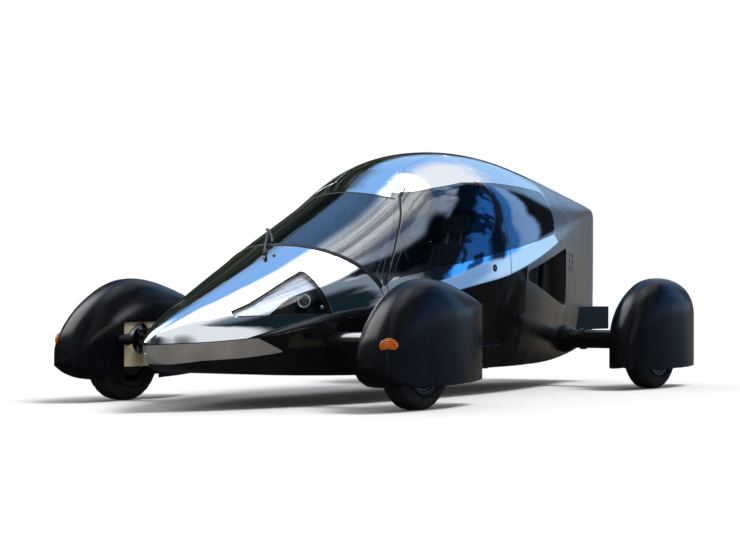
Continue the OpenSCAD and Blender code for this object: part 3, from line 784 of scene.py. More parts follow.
# ------------------------------------------------------------------ seals, seams and small fittings of the body
strip("windscreen_base_seal", upper_grid(-.08, -.45, .006), [plus(neg(base_ahead), .003), plus(base_ahead, .020), plus(pillar_fwd, -.002)], .006, .0028,
      RUBBER, ROOT)
strip("windscreen_top_seal", upper_grid(-.74, -1.0, .006), [plus(top_behind, .008), plus(neg(top_behind), .002), plus(pillar_fwd, -.010)], .005, .0012,
      RUBBER, ROOT)
for sgn, nm in ((1, "left"), (-1, "right")):
    half_ = left_of(.06) if sgn > 0 else right_of(-.06)
    a0, a1 = (0, math.pi / 2) if sgn > 0 else (math.pi / 2, math.pi)
    strip(nm + "_screen_edge_seal", upper_grid(-.25, -.98, .006, th0=a0, th1=a1, nth=150), [plus(pillar_fwd, -.017), plus(neg(pillar_fwd), .022), plus(neg(base_ahead), .0),
          plus(neg(top_behind), .01), half_], .006, .0003, BAND, ROOT, edge=.0003)
    strip(nm + "_window_seal", upper_grid(-.40, -1.53, .009, th0=a0, th1=a1, nth=110), [plus(window_in, .0028), plus(neg(window_in), .0022), half_], .004, .0003,
          BAND, nm + "_door_body", edge=.0003)
    strip(nm + "_quarter_seal", upper_grid(-1.57, -2.37, .009, th0=a0, th1=a1, nth=110), [plus(quarter_in, .0028), plus(neg(quarter_in), .0022), half_], .004, .0003,
          BAND, ROOT, edge=.0003)
    strip(nm + "_headlight_seal", upper_grid(.58, .01, .008, th0=a0, th1=a1, nth=120), [plus(headlight_in, .0032), plus(neg(headlight_in), .0018)], .004, .0008,
          RUBBER, ROOT)
    # trim strip in the gap of the door: bright on the roof, dark on the glass line
    mm = (lambda f: f) if sgn > 0 else mirrored
    trim_zone = lambda P: np.where(P[:, 2] < 1.112, 1, 0)
    shell(nm + "_door_gap_trim", [upper_grid(-.30, -1.60, .006, th0=a0, th1=a1, nth=170)], [mm(plus(neg(left_door), -.0022)), mm(plus(left_door, .0066)), over_belt(.004)], .004,
          [CHROME, SATIN], ROOT, region=trim_zone, splits=[in_band], proud=-.0008, edge=.0008)
    # intake: lined throat, its near-black lining partly painted shade of the deep recess
    g = lower_grid(-1.79, -2.67, .012, ns=46)
    mm = (lambda f: f) if sgn > 0 else mirrored
    thr = recess(nm + "_intake_throat", g, every(mm(plus(intake_in, 0.)), half_), .010, .092, [DUCT_LINING_PAINTED_SHADE], ROOT)
    # headlamp: pale tray, dark bucket, projector and side lamp
    BUCKET = np.array([[.400, .440], [.375, .470], [.300, .516], [.220, .556], [.150, .579], [.087, .597], [.020, .612], [.020, .440]])
    bucket_in = every(rounded(BUCKET, .004), headlight_in, half_)
    gh = upper_grid(.57, .02, .009, th0=a0, th1=a1, nth=92)
    shell(nm + "_lamp_tray", [gh], [every(headlight_in, half_), plus(neg(bucket_in), 0)], .002, TRAY, ROOT, proud=-.020, edge=.0012)
    recess(nm + "_lamp_wall", gh, every(headlight_in, half_), .004, .022, [SATIN], ROOT, back=False)
    bkt = recess(nm + "_lamp_bucket", gh, bucket_in, .020, .085, [LAMP_BLACK], ROOT)
    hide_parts("intake_ducts"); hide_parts("headlamps")
    lens = np.array([.128 + FX, sgn * .338, .532]); ax = np.array([.985, sgn * .16, .03])
    lathe(nm + "_projector_body", [(.012, -.050), (.036, -.050), (.038, -.030), (.034, -.012), (.0335, .0), (.030, .002), (.029, -.004), (.012, -.006)], lens, ax, [LAMP_BLACK],
          ROOT)
    lathe(nm + "_projector_ring", [(.0292, -.002), (.0338, -.003), (.0348, .002), (.0338, .0060), (.0312, .0056), (.0296, .002), (.0292, -.002)], lens, ax, [LAMP_RING], ROOT)
    lathe(nm + "_projector_lens", [(.0005, -.004), (.027, -.004), (.0275, .0), (.0255, .0055), (.0205, .0105), (.013, .0140), (.006, .0155), (.0005, .0158)], lens, ax, [CLEAR],
          ROOT)
    sl = np.array([.066 + FX, sgn * .402, .499])
    lathe(nm + "_side_lamp", [(.0005, -.016), (.009, -.016), (.011, -.004), (.0115, .0), (.009, .005), (.005, .0075), (.0005, .008)], sl, ax, [TRAY], ROOT, seg=28)
    # round flush latch on the belt strip of the door
    lp = np.array([[-1.345, float(side_y(np.array([-1.345]), np.array([.702]))[0]), .702]])
    ln = upper_n(lp)[0]; c = lp[0] * [1, sgn, 1]; ln = ln * [1, sgn, 1]
    lathe(nm + "_latch_ring", [(.0125, -.002), (.0205, -.002), (.0205, .0018), (.0190, .0034), (.0145, .0034), (.0125, .0015), (.0125, -.002)], c + [FX, 0, 0], ln, [PLASTIC],
          nm + "_door_body")
    lathe(nm + "_latch_knob", [(.0005, -.003), (.0122, -.003), (.0122, -.0005), (.0105, .0010), (.0040, .0016), (.0005, .0016)], c + [FX, 0, 0], ln, [STEEL], nm + "_door_body",
          seg=36)
    # vent slots in the tail, each a short louvre
    for ci in range(2):
        for ri in range(3):
            fx_ = -2.690 - .078 * ci
            fz = .790 - .040 * ri - .012 * ci
            tv = np.linspace(0, 1, 400)
            lp_ = lower_pt(np.full(400, fx_), tv)
            k = int(np.argmin(np.abs(lp_[:, 2] - fz)))
            P0 = lp_[k]
            slot_in = rounded(np.array([[fx_ - .009, P0[2] - .014], [fx_ + .009, P0[2] - .014], [fx_ + .009, P0[2] + .014], [fx_ - .009, P0[2] + .014]]), .004)
            gs = lower_grid(fx_ - .02, fx_ + .02, .0025, ns=200, nbelly=3)
            strip("%s_vent_%d%d" % (nm, ci, ri), gs, [every(slot_in, half_)], .003, .0011, PLASTIC, ROOT, edge=.0012)

# washer nozzle
wn_ = on_top(.013, .079)[0]
lathe("washer_nozzle", [(.0005, -.002), (.0085, -.002), (.0085, .002), (.006, .0055), (.003, .0075), (.0005, .008)], wn_ + [FX, 0, 0], upper_n(wn_[None])[0], [PLASTIC], ROOT,
      seg=28)


# ------------------------------------------------------------------ wheel pods
# x from the axle, lower edge outside, top, half width, lower edge inside, shift outwards
POD_F = np.array([[.470, .214, .228, .027, .213, .020], [.458, .206, .300, .062, .200, .019], [.425, .190, .380, .092, .180, .018], [.340, .155, .478, .114, .147, .011], [.220, .127, .562, .131, .117, .004],
    [.080, .119, .624, .138, .109, 0], [-.060, .118, .645, .138, .114, 0], [-.220, .120, .632, .127, .118, 0], [-.400, .122, .592, .092, .121, 0], [-.560, .125, .548, .046, .125, 0],
    [-.660, .127, .515, .012, .127, 0]])
POD_R = np.array([[.440, .150, .230, .012, .165, 0], [.428, .130, .305, .045, .148, 0], [.395, .122, .385, .072, .132, 0], [.310, .118, .490, .104, .122, 0], [.190, .118, .575, .126, .118, 0],
    [.050, .118, .632, .137, .118, 0], [-.080, .118, .646, .138, .118, 0], [-.220, .119, .638, .130, .119, 0], [-.360, .121, .605, .105, .121, 0], [-.470, .123, .548, .072, .123, 0],
    [-.545, .125, .460, .040, .125, 0]])


def pod_grid(tab, nu=84, nw=8, na=42, nn=16):
    u = np.concatenate([np.linspace(0, 1.2, nn)[:-1], np.linspace(1.2, 10, nu)])
    r = cr_rows(tab, u)
    x, zo, zt, h, zi, sh = r.T
    zs = np.maximum(zo + .3 * (zt - zo), zt - 1.6 * h)
    a = np.linspace(0, math.pi, na)
    c, s_ = np.cos(a), np.sin(a)
    py = np.sign(c) * np.abs(c) ** (2 / 2.3); pz = np.maximum(s_, 0) ** (2 / 2.3)
    w = np.linspace(0, 1, nw, endpoint=False)
    Y = np.concatenate([np.repeat(h[:, None], nw, 1), h[:, None] * py[None], np.repeat(-h[:, None], nw, 1)], 1)
    Z = np.concatenate([zo[:, None] + (zs - zo)[:, None] * w[None], zs[:, None] + (zt - zs)[:, None] * pz[None],
                        (zi[:, None] + (zs - zi)[:, None] * w[None])[:, ::-1]], 1)
    Y = Y + sh[:, None]
    X = np.repeat(x[:, None], Y.shape[1], 1)
    P = np.stack([X, Y, Z], -1)
    du = np.gradient(P, axis=0); dv = np.gradient(P, axis=1)
    N = np.cross(du, dv); N /= np.maximum(np.linalg.norm(N, axis=2), 1e-12)[..., None]
    mid = np.stack([np.zeros_like(X), np.zeros_like(X), np.full_like(X, .3)], -1)
    # side walls and roof turn outwards from the pod's middle line
    sg = np.sign((N * (P - mid) * [0.2, 1, 1]).sum(2))
    N = N * np.where(sg == 0, 1, sg)[..., None]
    return P.reshape(-1, 3), N.reshape(-1, 3), grid_tris(*X.shape)


ARCH = rounded(np.array([[-.152, -.2], [.152, -.2], [.152, .418], [-.152, .418]]), .022)
inside_y = lambda P: P[:, 1] + .05
for nm, cx, sgn, tab, body in (("front_left", 0., 1, POD_F, "front_left_steering"), ("front_right", 0., -1, POD_F, "front_right_steering"),
                               ("rear_left", -WB, 1, POD_R, ROOT), ("rear_right", -WB, -1, POD_R, ROOT)):
    P, N, F = pod_grid(tab)
    hole = ARCH if "front" in nm else (lambda P: .059 - np.hypot(P[:, 0], P[:, 2] - .284))
    keep = either(neg(hole), inside_y)
    P, N, F, N0 = panel_mesh(P, N, F, [keep], edge=.003)
    place = np.array([1, sgn, 1.])
    P, N, N0 = P * place + [cx, sgn * HY, 0], N * place, N0 * place
    if sgn < 0:
        F = F[:, ::-1]
    # the open ends of the loft are closed by the same wall
    n = len(P); t = .005
    inner = P - N0 * t
    rim = edge_loops(F)
    a, b = rim[:, 0], rim[:, 1]
    quads = np.stack([b, a, a + n, b + n], 1)
    V = np.concatenate([P, inner]) + [FX, 0, 0]
    e1 = P[b] - P[a]; qn = np.cross(inner[a] - P[a], e1); qn /= np.maximum(np.linalg.norm(qn, axis=1), 1e-12)[:, None]
    faces = list(F) + list(F[:, ::-1] + n) + list(quads)
    nn = np.concatenate([N[F].reshape(-1, 3), -N0[F[:, ::-1]].reshape(-1, 3), np.repeat(qn, 4, 0)])
    # inside faces of the skin in black plastic: painted shade over the tan laminate that lines the pods, which stays
    # only on the front bulkheads
    o = add(nm + "_pod_skin", V, faces, [SATIN, PLASTIC], body, np.concatenate([np.zeros(len(F), int), np.ones(len(F), int), np.zeros(len(quads), int)]), nn)
    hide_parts(nm + "_pod")
    # blunt rear edge and nose: closed strips
    for x_end, r_ in (("tail", tab[-1]), ("nose", tab[0])):
        x, zo, zt, h, zi, sh = r_
        zs = max(zo + .3 * (zt - zo), zt - 1.6 * h)
        aa = np.linspace(0, math.pi, 40)
        prof = np.concatenate([[[h, zo]], np.column_stack([h * np.sign(np.cos(aa)) * np.abs(np.cos(aa)) ** (2 / 2.3), zs + (zt - zs) * np.maximum(np.sin(aa), 0) ** (2 / 2.3)]), [[-h, zi]]])
        d = -1 if x_end == "tail" else 1
        m_ = len(prof); cz_ = (prof[:, 1].min() + prof[:, 1].max()) / 2
        lay = []
        for k, dx in ((1., 0.), (.93, .0012), (.6, .0018)):
            lay.append(np.column_stack([np.full(m_, x + d * dx), prof[:, 0] * k, cz_ + (prof[:, 1] - cz_) * (1 - (1 - k) * .12)]))
        lay.append(np.column_stack([np.full(m_, x - d * .004), prof[:, 0] * .6, cz_ + (prof[:, 1] - cz_) * .95]))
        lay.append(np.column_stack([np.full(m_, x - d * .004), prof[:, 0] * .99, cz_ + (prof[:, 1] - cz_) * .995]))
        V = (np.concatenate(lay) + [0, sh, 0]) * place + [cx + FX, sgn * HY, 0]
        F_ = [(r * m_ + i, r * m_ + (i + 1) % m_, ((r + 1) % 5) * m_ + (i + 1) % m_, ((r + 1) % 5) * m_ + i) for r in range(5) for i in range(m_)]
        # flat middle of the end, front and back
        F_ += [tuple(2 * m_ + i for i in range(m_)), tuple(3 * m_ + i for i in range(m_ - 1, -1, -1))]
        F_ = [f for f in F_ if len(f) > 4 or True]
        o2 = add("%s_pod_%s" % (nm, x_end), V, F_[:-2] if False else F_, [SATIN], body)
        bm = bmesh.new(); bm.from_mesh(o2.data); bmesh.ops.recalc_face_normals(bm, faces=bm.faces); bm.to_mesh(o2.data); bm.free()

# front pods: the skin turns under between the nose and the tyre
for nm, sgn in (("front_left", 1), ("front_right", -1)):
    uu = np.linspace(0, 3.62, 40); ww = np.linspace(-1, 1, 29)
    r = cr_rows(POD_F, uu)
    x, zo, zt, hw, zi, sh = [c[:, None] for c in r.T]
    W = ww[None]
    dip = (.004 + .012 * np.clip((.470 - x) / .12, 0, 1))
    lay = []
    for t in (0., .004):
        Yc = sh + (hw - .0004 - t) * W + 0 * x
        Zc = zo * (1 + W) / 2 + zi * (1 - W) / 2 + .002 - dip * np.maximum(1 - np.abs(W) ** 2.4, 0) ** (1 / 2.4) + t
        lay.append(np.stack([np.broadcast_to(x - t * .3, Yc.shape), Yc, Zc], -1).reshape(-1, 3))
    nu_, nw_ = 40, 29; n1 = nu_ * nw_
    q = lambda i, j: i * nw_ + j
    F_ = [(q(i, j), q(i, j + 1), q(i + 1, j + 1), q(i + 1, j)) for i in range(nu_ - 1) for j in range(nw_ - 1)]
    F_ = F_ + [tuple(n1 + k for k in reversed(f)) for f in F_]
    ring = [q(0, j) for j in range(nw_)] + [q(i, nw_ - 1) for i in range(1, nu_)] + [q(nu_ - 1, j) for j in range(nw_ - 2, -1, -1)] + [q(i, 0) for i in range(nu_ - 2, 0, -1)]
    F_ += [(ring[(k + 1) % len(ring)], ring[k], ring[k] + n1, ring[(k + 1) % len(ring)] + n1) for k in range(len(ring))]
    V = np.concatenate(lay) * [1, sgn, 1] + [FX, sgn * HY, 0]
    o3 = add(nm + "_pod_under", V, F_, [SATIN], nm + "_steering")
    bm = bmesh.new(); bm.from_mesh(o3.data); bmesh.ops.recalc_face_normals(bm, faces=bm.faces); bm.to_mesh(o3.data); bm.free()

# turn lamps on the front pods: ribbed lens sunk partly into the pod's skin
for nm, sgn in (("left", 1), ("right", -1)):
    th = np.linspace(0, math.pi, 33); ph = np.linspace(0, 2 * math.pi, 64, endpoint=False)
    T, H = np.meshgrid(th, ph, indexing="ij")
    E = np.stack([np.sin(T) * np.cos(H), np.sin(T) * np.sin(H), np.cos(T)], -1).reshape(-1, 3)
    rot = math.radians(62)
    Rz = np.array([[math.cos(rot), -math.sin(rot), 0], [math.sin(rot), math.cos(rot), 0], [0, 0, 1]])
    rib = 1 + .018 * np.cos(E[:, 2:3] * 26)
    Pp, Np, _ = pod_grid(POD_F, 150, 12, 64, 22)
    kk = int(np.argmin(np.abs(Pp[:, 2] - .322) + np.abs(.85 * Pp[:, 1] - .527 * Pp[:, 0] + .1225) + (Pp[:, 1] < 0)))
    q_, nq = Pp[kk], Np[kk] * [1, 1, 0]; nq = nq / np.linalg.norm(nq); tq = np.array([-nq[1], nq[0], 0])
    V = (E * rib)[:, :1] * .0165 * nq + (E * rib)[:, 1:2] * .055 * tq + (E * rib)[:, 2:] * [0, 0, .0365] + q_ - nq * .0115
    F = [(i * 64 + j, i * 64 + (j + 1) % 64, (i + 1) * 64 + (j + 1) % 64, (i + 1) * 64 + j) for i in range(32) for j in range(64)]
    V = V * [1, sgn, 1] + [FX, sgn * HY, 0]
    if sgn > 0:
        F = [tuple(reversed(f)) for f in F]
    me_ = weld(V, np.zeros_like(V), np.array([[f[0], f[1], f[2]] for f in F] + [[f[0], f[2], f[3]] for f in F]))
    o = add("front_%s_turn_lens" % nm, me_[0], me_[2], [AMBER], "front_%s_steering" % nm)
    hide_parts("front_%s_indicator" % nm)


# ------------------------------------------------------------------ wheels
def tyre_mesh(seg=120):
    """profile (radius, across) with ribs, turned about the spindle, with blocks on the shoulders"""
    half_p = [(.1665, .0405), (.1700, .0460), (.1760, .0500), (.1840, .0580), (.1900, .0625), (.1905, .0640), (.1935, .0648), (.1940, .0668), (.2020, .0712), (.2100, .0724), (.2120, .0722),
              (.2125, .0712), (.2150, .0708), (.2155, .0716), (.2250, .0690), (.2330, .0652), (.2400, .0600), (.2450, .0545), (.2480, .0490), (.2495, .0440), (.2500, .0400), (.2455, .0392),
              (.2455, .0340), (.2508, .0332), (.2515, .0250), (.2516, .0165), (.2465, .0158), (.2465, .0108), (.2518, .0100), (.2520, .0040)]
    prof = half_p + [(r, -w) for r, w in reversed(half_p)]
    prof = np.array(prof)
    inner = np.array([(.1700, -.034), (.1900, -.052), (.2100, -.0575), (.2290, -.050), (.2350, -.030), (.2360, 0), (.2350, .030), (.2290, .050), (.2100, .0575), (.1900, .052), (.1700, .034)])
    loop = np.concatenate([prof, inner])
    a = np.linspace(0, 2 * math.pi, seg, endpoint=False)
    R = np.repeat(loop[:, :1], seg, 1); W = np.repeat(loop[:, 1:], seg, 1)
    k = np.arange(seg)
    shoulder = (loop[:, 0] > .236) & (np.abs(loop[:, 1]) > .036) & (np.arange(len(loop)) < len(prof))
    cutk = (k % 4) < 1
    R = R - np.where(shoulder[:, None] & cutk[None], .0035, 0)
    mid = (loop[:, 0] > .2505) & (np.abs(loop[:, 1]) < .034) & (np.arange(len(loop)) < len(prof))
    R = R - np.where(mid[:, None] & ((k + 2) % 4 < 1)[None], .0022, 0)
    V = np.stack([R * np.cos(a), W, R * np.sin(a)], -1).reshape(-1, 3)
    m_ = len(loop)
    F = [(i * seg + j, ((i + 1) % m_) * seg + j, ((i + 1) % m_) * seg + (j + 1) % seg, i * seg + (j + 1) % seg) for i in range(m_) for j in range(seg)]
    return V, F


TREAD = finish("tyre_rubber", (.0055, .0055, .0058), (.011, .0105, .010), (.62, .85), cscale=25., rscale=40., bscale=700., bstr=.15, bdist=.0006)
TV, TF = tyre_mesh()
for nm, cx, sgn in (("front_left", 0., 1), ("front_right", 0., -1), ("rear_left", -WB, 1), ("rear_right", -WB, -1)):
    c = np.array([cx + FX, sgn * HY, TYRE_R])
    o = add(nm + "_tyre_carcass", TV * [1, sgn, 1] + c, TF if sgn < 0 else [tuple(reversed(f)) for f in TF], [TREAD], nm + "_wheel")
    bm = bmesh.new(); bm.from_mesh(o.data); bmesh.ops.recalc_face_normals(bm, faces=bm.faces); bm.to_mesh(o.data); bm.free()
    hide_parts(nm + "_tyre")
    # dust cap on the hub and wheel bolts
    out = np.array([0, sgn, 0.])
    lathe(nm + "_hub_cap", [(.0005, .062), (.020, .0615), (.026, .058), (.0285, .050), (.029, .036), (.034, .033), (.036, .0285), (.024, .0283)], c, out, [STEEL], nm + "_wheel")
    for k in range(5):
        an = 2 * math.pi * k / 5 + .3
        p = c + np.array([.046 * math.cos(an), 0, .046 * math.sin(an)])
        lathe("%s_bolt_%d" % (nm, k), [(.0005, .0395), (.0065, .0395), (.0080, .038), (.0085, .031), (.0100, .030), (.0105, .0283), (.004, .0280)], p, out, [STEEL], nm + "_wheel", seg=6,
              smooth=False)
    # dark cover on the outer face, with a thin bright ring
    lathe(nm + "_wheel_cover", [(.064, .0480), (.066, .0505), (.090, .0545), (.120, .0555), (.146, .0525), (.1495, .0495), (.1475, .0470), (.120, .0505), (.090, .0500), (.064, .0480)], c, out,
          [SATIN], nm + "_wheel", seg=96)
    lathe(nm + "_cover_ring", [(.1490, .0492), (.1535, .0500), (.1545, .0520), (.1525, .0535), (.1490, .0530), (.1490, .0492)], c, out, [STEEL], nm + "_wheel", seg=96)
    # brake disc on the inner side
    lathe(nm + "_brake_disc", [(.030, -.064), (.118, -.064), (.120, -.0625), (.120, -.0575), (.118, -.056), (.062, -.056), (.060, -.0415), (.030, -.0412), (.030, -.064)], c, out, [STEEL],
          nm + "_wheel", seg=72)

# bare laminate bulkhead in the arch of each front pod, open round the end of the beam
for sgn, nm in ((1, "left"), (-1, "right")):
    gx, gz = np.meshgrid(np.linspace(-.16, .16, 50), np.linspace(.17, .43, 42), indexing="ij")
    Pb = np.stack([gx, np.full_like(gx, sgn * .7795), gz], -1).reshape(-1, 3)
    Nb = np.tile([0., -sgn, 0.], (len(Pb), 1))
    Fb = grid_tris(*gx.shape)
    nb = np.cross(Pb[Fb[0, 1]] - Pb[Fb[0, 0]], Pb[Fb[0, 2]] - Pb[Fb[0, 0]])
    if nb @ Nb[0] < 0:
        Fb = Fb[:, ::-1]
    rect = rounded(np.array([[-.149, .182], [.149, .182], [.149, .415], [-.149, .415]]), .018)
    shell("front_%s_bulkhead" % nm, [(Pb, Nb, Fb)], [rect, lambda P: np.hypot(P[:, 0], P[:, 2] - .330) - .082], .004, LAMINATE, "front_%s_steering" % nm, edge=.0015)

# ------------------------------------------------------------------ beams: boots where they leave the body
for sgn, nm in ((1, "left"), (-1, "right")):
    lathe("front_beam_%s_boot" % nm, [(.0505, .392), (.066, .392), (.068, .400), (.066, .408), (.061, .413), (.063, .420), (.058, .426), (.060, .433), (.055, .440), (.0525, .446), (.0505, .447),
          (.0505, .392)], (FX, 0, .330), (0, sgn, 0), [RUBBER], ROOT, seg=64)
    lathe("front_beam_%s_collar" % nm, [(.0503, .690), (.056, .690), (.0575, .693), (.0575, .709), (.056, .712), (.0503, .712), (.0503, .690)], (FX, 0, .330), (0, sgn, 0), [SATIN], ROOT,
          seg=64)
    lathe("rear_beam_%s_boot" % nm, [(.0555, .330), (.080, .330), (.083, .345), (.079, .362), (.071, .378), (.064, .390), (.0585, .398), (.0555, .400), (.0555, .330)], (FX - WB, 0, .284), (0, sgn, 0),
          [SATIN], ROOT, seg=64)
    lathe("rear_beam_%s_flange" % nm, [(.0555, .742), (.062, .742), (.064, .745), (.064, .760), (.062, .763), (.0555, .763), (.0555, .742)], (FX - WB, 0, .284), (0, sgn, 0), [SATIN], ROOT,
          seg=64)
    # steering arm with a tapered boot, ahead of the kingpin
    arm = smooth_path(np.array([[.012, .800, .388], [.060, .786, .372], [.110, .764, .345], [.160, .750, .328], [.200, .748, .325]]) * [1, sgn, 1] + [FX, 0, 0], 24)
    sweep("front_%s_steering_arm" % nm, arm, np.linspace(.016, .014, 24), [STEEL], "front_%s_steering" % nm)
    lathe("front_%s_arm_boot" % nm, [(.012, -.075), (.026, -.074), (.030, -.066), (.0285, -.055), (.0295, -.046), (.0265, -.034), (.0275, -.026), (.023, -.012), (.016, .004), (.008, .014), (.0008, .017)],
          (FX + .215, sgn * .748, .325), (1, 0, 0), [RUBBER], "front_%s_steering" % nm)


# ------------------------------------------------------------------ cabin
def weave_mat(name, c1, c2, scale, sheen=.25):
    """woven cloth: two crossing sets of threads, with a soft sheen"""
    m, nt, b = new_mat(name)
    threads = []
    for d_ in ("X", "Z"):
        wv = node(nt, "ShaderNodeTexWave", Scale=scale, Distortion=.8, Detail=1.)
        wv.bands_direction = d_
        nt.links.new(coords(nt), wv.inputs["Vector"])
        threads.append(wv.outputs["Fac"])
    both_ = nt.nodes.new("ShaderNodeMath"); both_.operation = "MULTIPLY"
    nt.links.new(threads[0], both_.inputs[0]); nt.links.new(threads[1], both_.inputs[1])
    nt.links.new(mix(nt, ramp(nt, noise(nt, 14., 5), 0, 1), c1, c2), b.inputs["Base Color"])
    nt.links.new(ramp(nt, noise(nt, 30., 3), .75, .92, .3, .7), b.inputs["Roughness"])
    b.inputs["Sheen Weight"].default_value = sheen
    b.inputs["Sheen Roughness"].default_value = .5
    bump(nt, b, both_.outputs[0], .35, .0012)
    return m


WEAVE = weave_mat("seat_weave", (.016, .018, .023), (.030, .033, .040), 190.)
LEATHER = finish("grip_leather", (.010, .010, .011), (.018, .017, .017), (.38, .55), cscale=40., rscale=50., bscale=320., bstr=.3, bdist=.0009)
DIAL = finish("dial_face", (.010, .010, .011), (.014, .014, .015), (.5, .6), cscale=60., rscale=40., bscale=500., bstr=.05, bdist=.0003)
PALE = finish("dial_marks", (.75, .75, .72), (.68, .68, .66), (.4, .55), cscale=50., rscale=40., bscale=300., bstr=.05, bdist=.0003)


def rbox(name, lo, hi, r, mats, body, tilt=None, about=None):
    """plate or block with rounded edges"""
    bm = bmesh.new()
    bmesh.ops.create_cube(bm, size=1.)
    lo, hi = np.array(lo, float), np.array(hi, float)
    for v in bm.verts:
        v.co = Vector((lo + hi) / 2 + np.array(v.co) * (hi - lo))
    bmesh.ops.bevel(bm, geom=list(bm.edges), offset=r, segments=3, profile=.5, affect="EDGES")
    V = np.array([v.co[:] for v in bm.verts]); bm.verts.index_update()
    F = [tuple(v.index for v in f.verts) for f in bm.faces]
    bm.free()
    if tilt is not None:
        V = (V - about) @ np.array(tilt).T + about
    return add(name, V + [FX, 0, 0], F, mats, body)


def stuffed(name, balls, body, mat, seams=(), press=3.5, cap=.015, res=.015, shrink=.012, lift=None, mates=()):
    """cushion: hull of shrunken balls, remeshed, blown up as cloth with the sewn lines held, then smoothed once.
    seams is a list of functions of the points, near zero where a line is sewn; mates are (name, shift) copies."""
    bm = bmesh.new()
    for c, r in balls:
        bmesh.ops.create_icosphere(bm, subdivisions=3, radius=r - shrink, matrix=Matrix.Translation(Vector(c) + Vector((FX, 0, 0))))
    res_ = bmesh.ops.convex_hull(bm, input=list(bm.verts))
    loose = [g for g in res_["geom_interior"] + res_["geom_unused"] if isinstance(g, bmesh.types.BMVert)]
    bmesh.ops.delete(bm, geom=list(set(loose)), context="VERTS")
    me = bpy.data.meshes.new(name); bm.to_mesh(me); bm.free()
    o = bpy.data.objects.new(name, me); scene_.collection.objects.link(o)
    rm = o.modifiers.new("even", "REMESH"); rm.mode = "VOXEL"; rm.voxel_size = res
    sm = o.modifiers.new("ease", "SMOOTH"); sm.iterations = 3; sm.factor = .5
    dg = bpy.context.evaluated_depsgraph_get()
    me = bpy.data.meshes.new_from_object(o.evaluated_get(dg))
    o.modifiers.clear(); o.data = me
    n = len(me.vertices)
    V0 = np.empty(n * 3); me.vertices.foreach_get("co", V0); V0 = V0.reshape(-1, 3)
    P = V0 - [FX, 0, 0]
    hold = np.zeros(n)
    for f in seams:
        hold = np.maximum(hold, np.clip(1 - np.abs(f(P)) / (.75 * res), 0, 1))
    if lift is not None:
        hold = np.maximum(hold, lift(P))
    g = o.vertex_groups.new(name="held")
    for i in np.nonzero(hold > .05)[0]:
        g.add([int(i)], float(min(1, hold[i] * 1.4)), "REPLACE")
    N0 = np.empty(n * 3); me.vertex_normals.foreach_get("vector", N0); N0 = N0.reshape(-1, 3)
    cm = o.modifiers.new("air", "CLOTH")
    s = cm.settings
    s.quality = 5; s.mass = .25; s.tension_stiffness = 14; s.compression_stiffness = 10; s.shear_stiffness = 6; s.bending_stiffness = .6
    s.use_pressure = True; s.uniform_pressure_force = press
    s.effector_weights.gravity = 0
    s.vertex_group_mass = "held"
    cm.collision_settings.use_collision = False
    cm.point_cache.frame_start = 1; cm.point_cache.frame_end = 20
    for fr in range(1, 19):
        scene_.frame_set(fr)
    dg = bpy.context.evaluated_depsgraph_get()
    ev = o.evaluated_get(dg).to_mesh()
    V1 = np.empty(n * 3); ev.vertices.foreach_get("co", V1); V1 = V1.reshape(-1, 3)
    o.evaluated_get(dg).to_mesh_clear()
    o.modifiers.clear()
    scene_.frame_set(1)
    V1 = np.where(np.isfinite(V1), V1, V0)
    d = V1 - V0
    ln = np.linalg.norm(d, axis=1)
    V1 = V0 + d * np.minimum(1, cap / np.maximum(ln, 1e-9))[:, None]
    # sewn lines pull in a little
    V1 = V1 - N0 * (.0045 * hold)[:, None] if lift is None else V1 - N0 * (.0045 * np.where(lift(P) > .05, 0, hold))[:, None]
    me.vertices.foreach_set("co", V1.ravel()); me.update()
    sb = o.modifiers.new("fine", "SUBSURF"); sb.levels = 1; sb.render_levels = 1
    dg = bpy.context.evaluated_depsgraph_get()
    me = bpy.data.meshes.new_from_object(o.evaluated_get(dg))
    o.modifiers.clear(); o.vertex_groups.clear(); o.data = me
    me.materials.clear(); me.materials.append(mat)
    me.polygons.foreach_set("use_smooth", np.full(len(me.polygons), True)); me.update()
    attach(o, body)
    out = [o]
    for nm_, sh in mates:
        m2 = me.copy(); m2.transform(Matrix.Translation(sh))
        o2 = bpy.data.objects.new(nm_, m2); scene_.collection.objects.link(o2)
        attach(o2, body)
        out.append(o2)
    return out


scene_ = bpy.context.scene
SY = .262


def balls(rows, y0=0.):
    return [((x, y0 + s * y, z), r) for x, y, z, r in rows for s in (-1, 1)]


across = lambda a, d: (lambda P: P @ np.array([d[0], 0, d[1]]) - a)
rest_z = lambda z: (lambda P: np.clip((z - P[:, 2]) / .012, 0, 1))
# front seats: cushion, back and head pad, sewn across in channels
cush = stuffed("left_seat_cushion", balls([(-.864, .158, .330, .040), (-.884, .158, .252, .030), (-1.320, .140, .292, .040), (-1.320, .140, .252, .030)], SY), ROOT, WEAVE,
               seams=[lambda P, k=k: P[:, 0] + k for k in (.945, 1.030, 1.115, 1.200)] + [lambda P, s=s: (P[:, 1] - SY) - s * .098 for s in (-1, 1)], lift=rest_z(.246),
               mates=[("right_seat_cushion", (0, -2 * SY, 0))])
bd = np.array([-.180, .520]); bd = bd / np.linalg.norm(bd)
back = stuffed("left_seat_back", balls([(-1.352, .138, .398, .044), (-1.500, .110, .818, .036)], SY), ROOT, WEAVE,
               seams=[lambda P, k=k: (P[:, [0, 2]] - [-1.32, .30]) @ bd - k for k in (.16, .25, .34, .43)] + [lambda P, s=s: (P[:, 1] - SY) - s * .086 for s in (-1, 1)],
               mates=[("right_seat_back", (0, -2 * SY, 0))])
head = stuffed("left_head_pad", balls([(-1.523, .070, .912, .029), (-1.545, .060, .978, .030)], SY), ROOT, WEAVE, res=.010, cap=.010, shrink=.008,
               seams=[lambda P: P[:, 2] - .945], mates=[("right_head_pad", (0, -2 * SY, 0))])
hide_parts("front_seats")
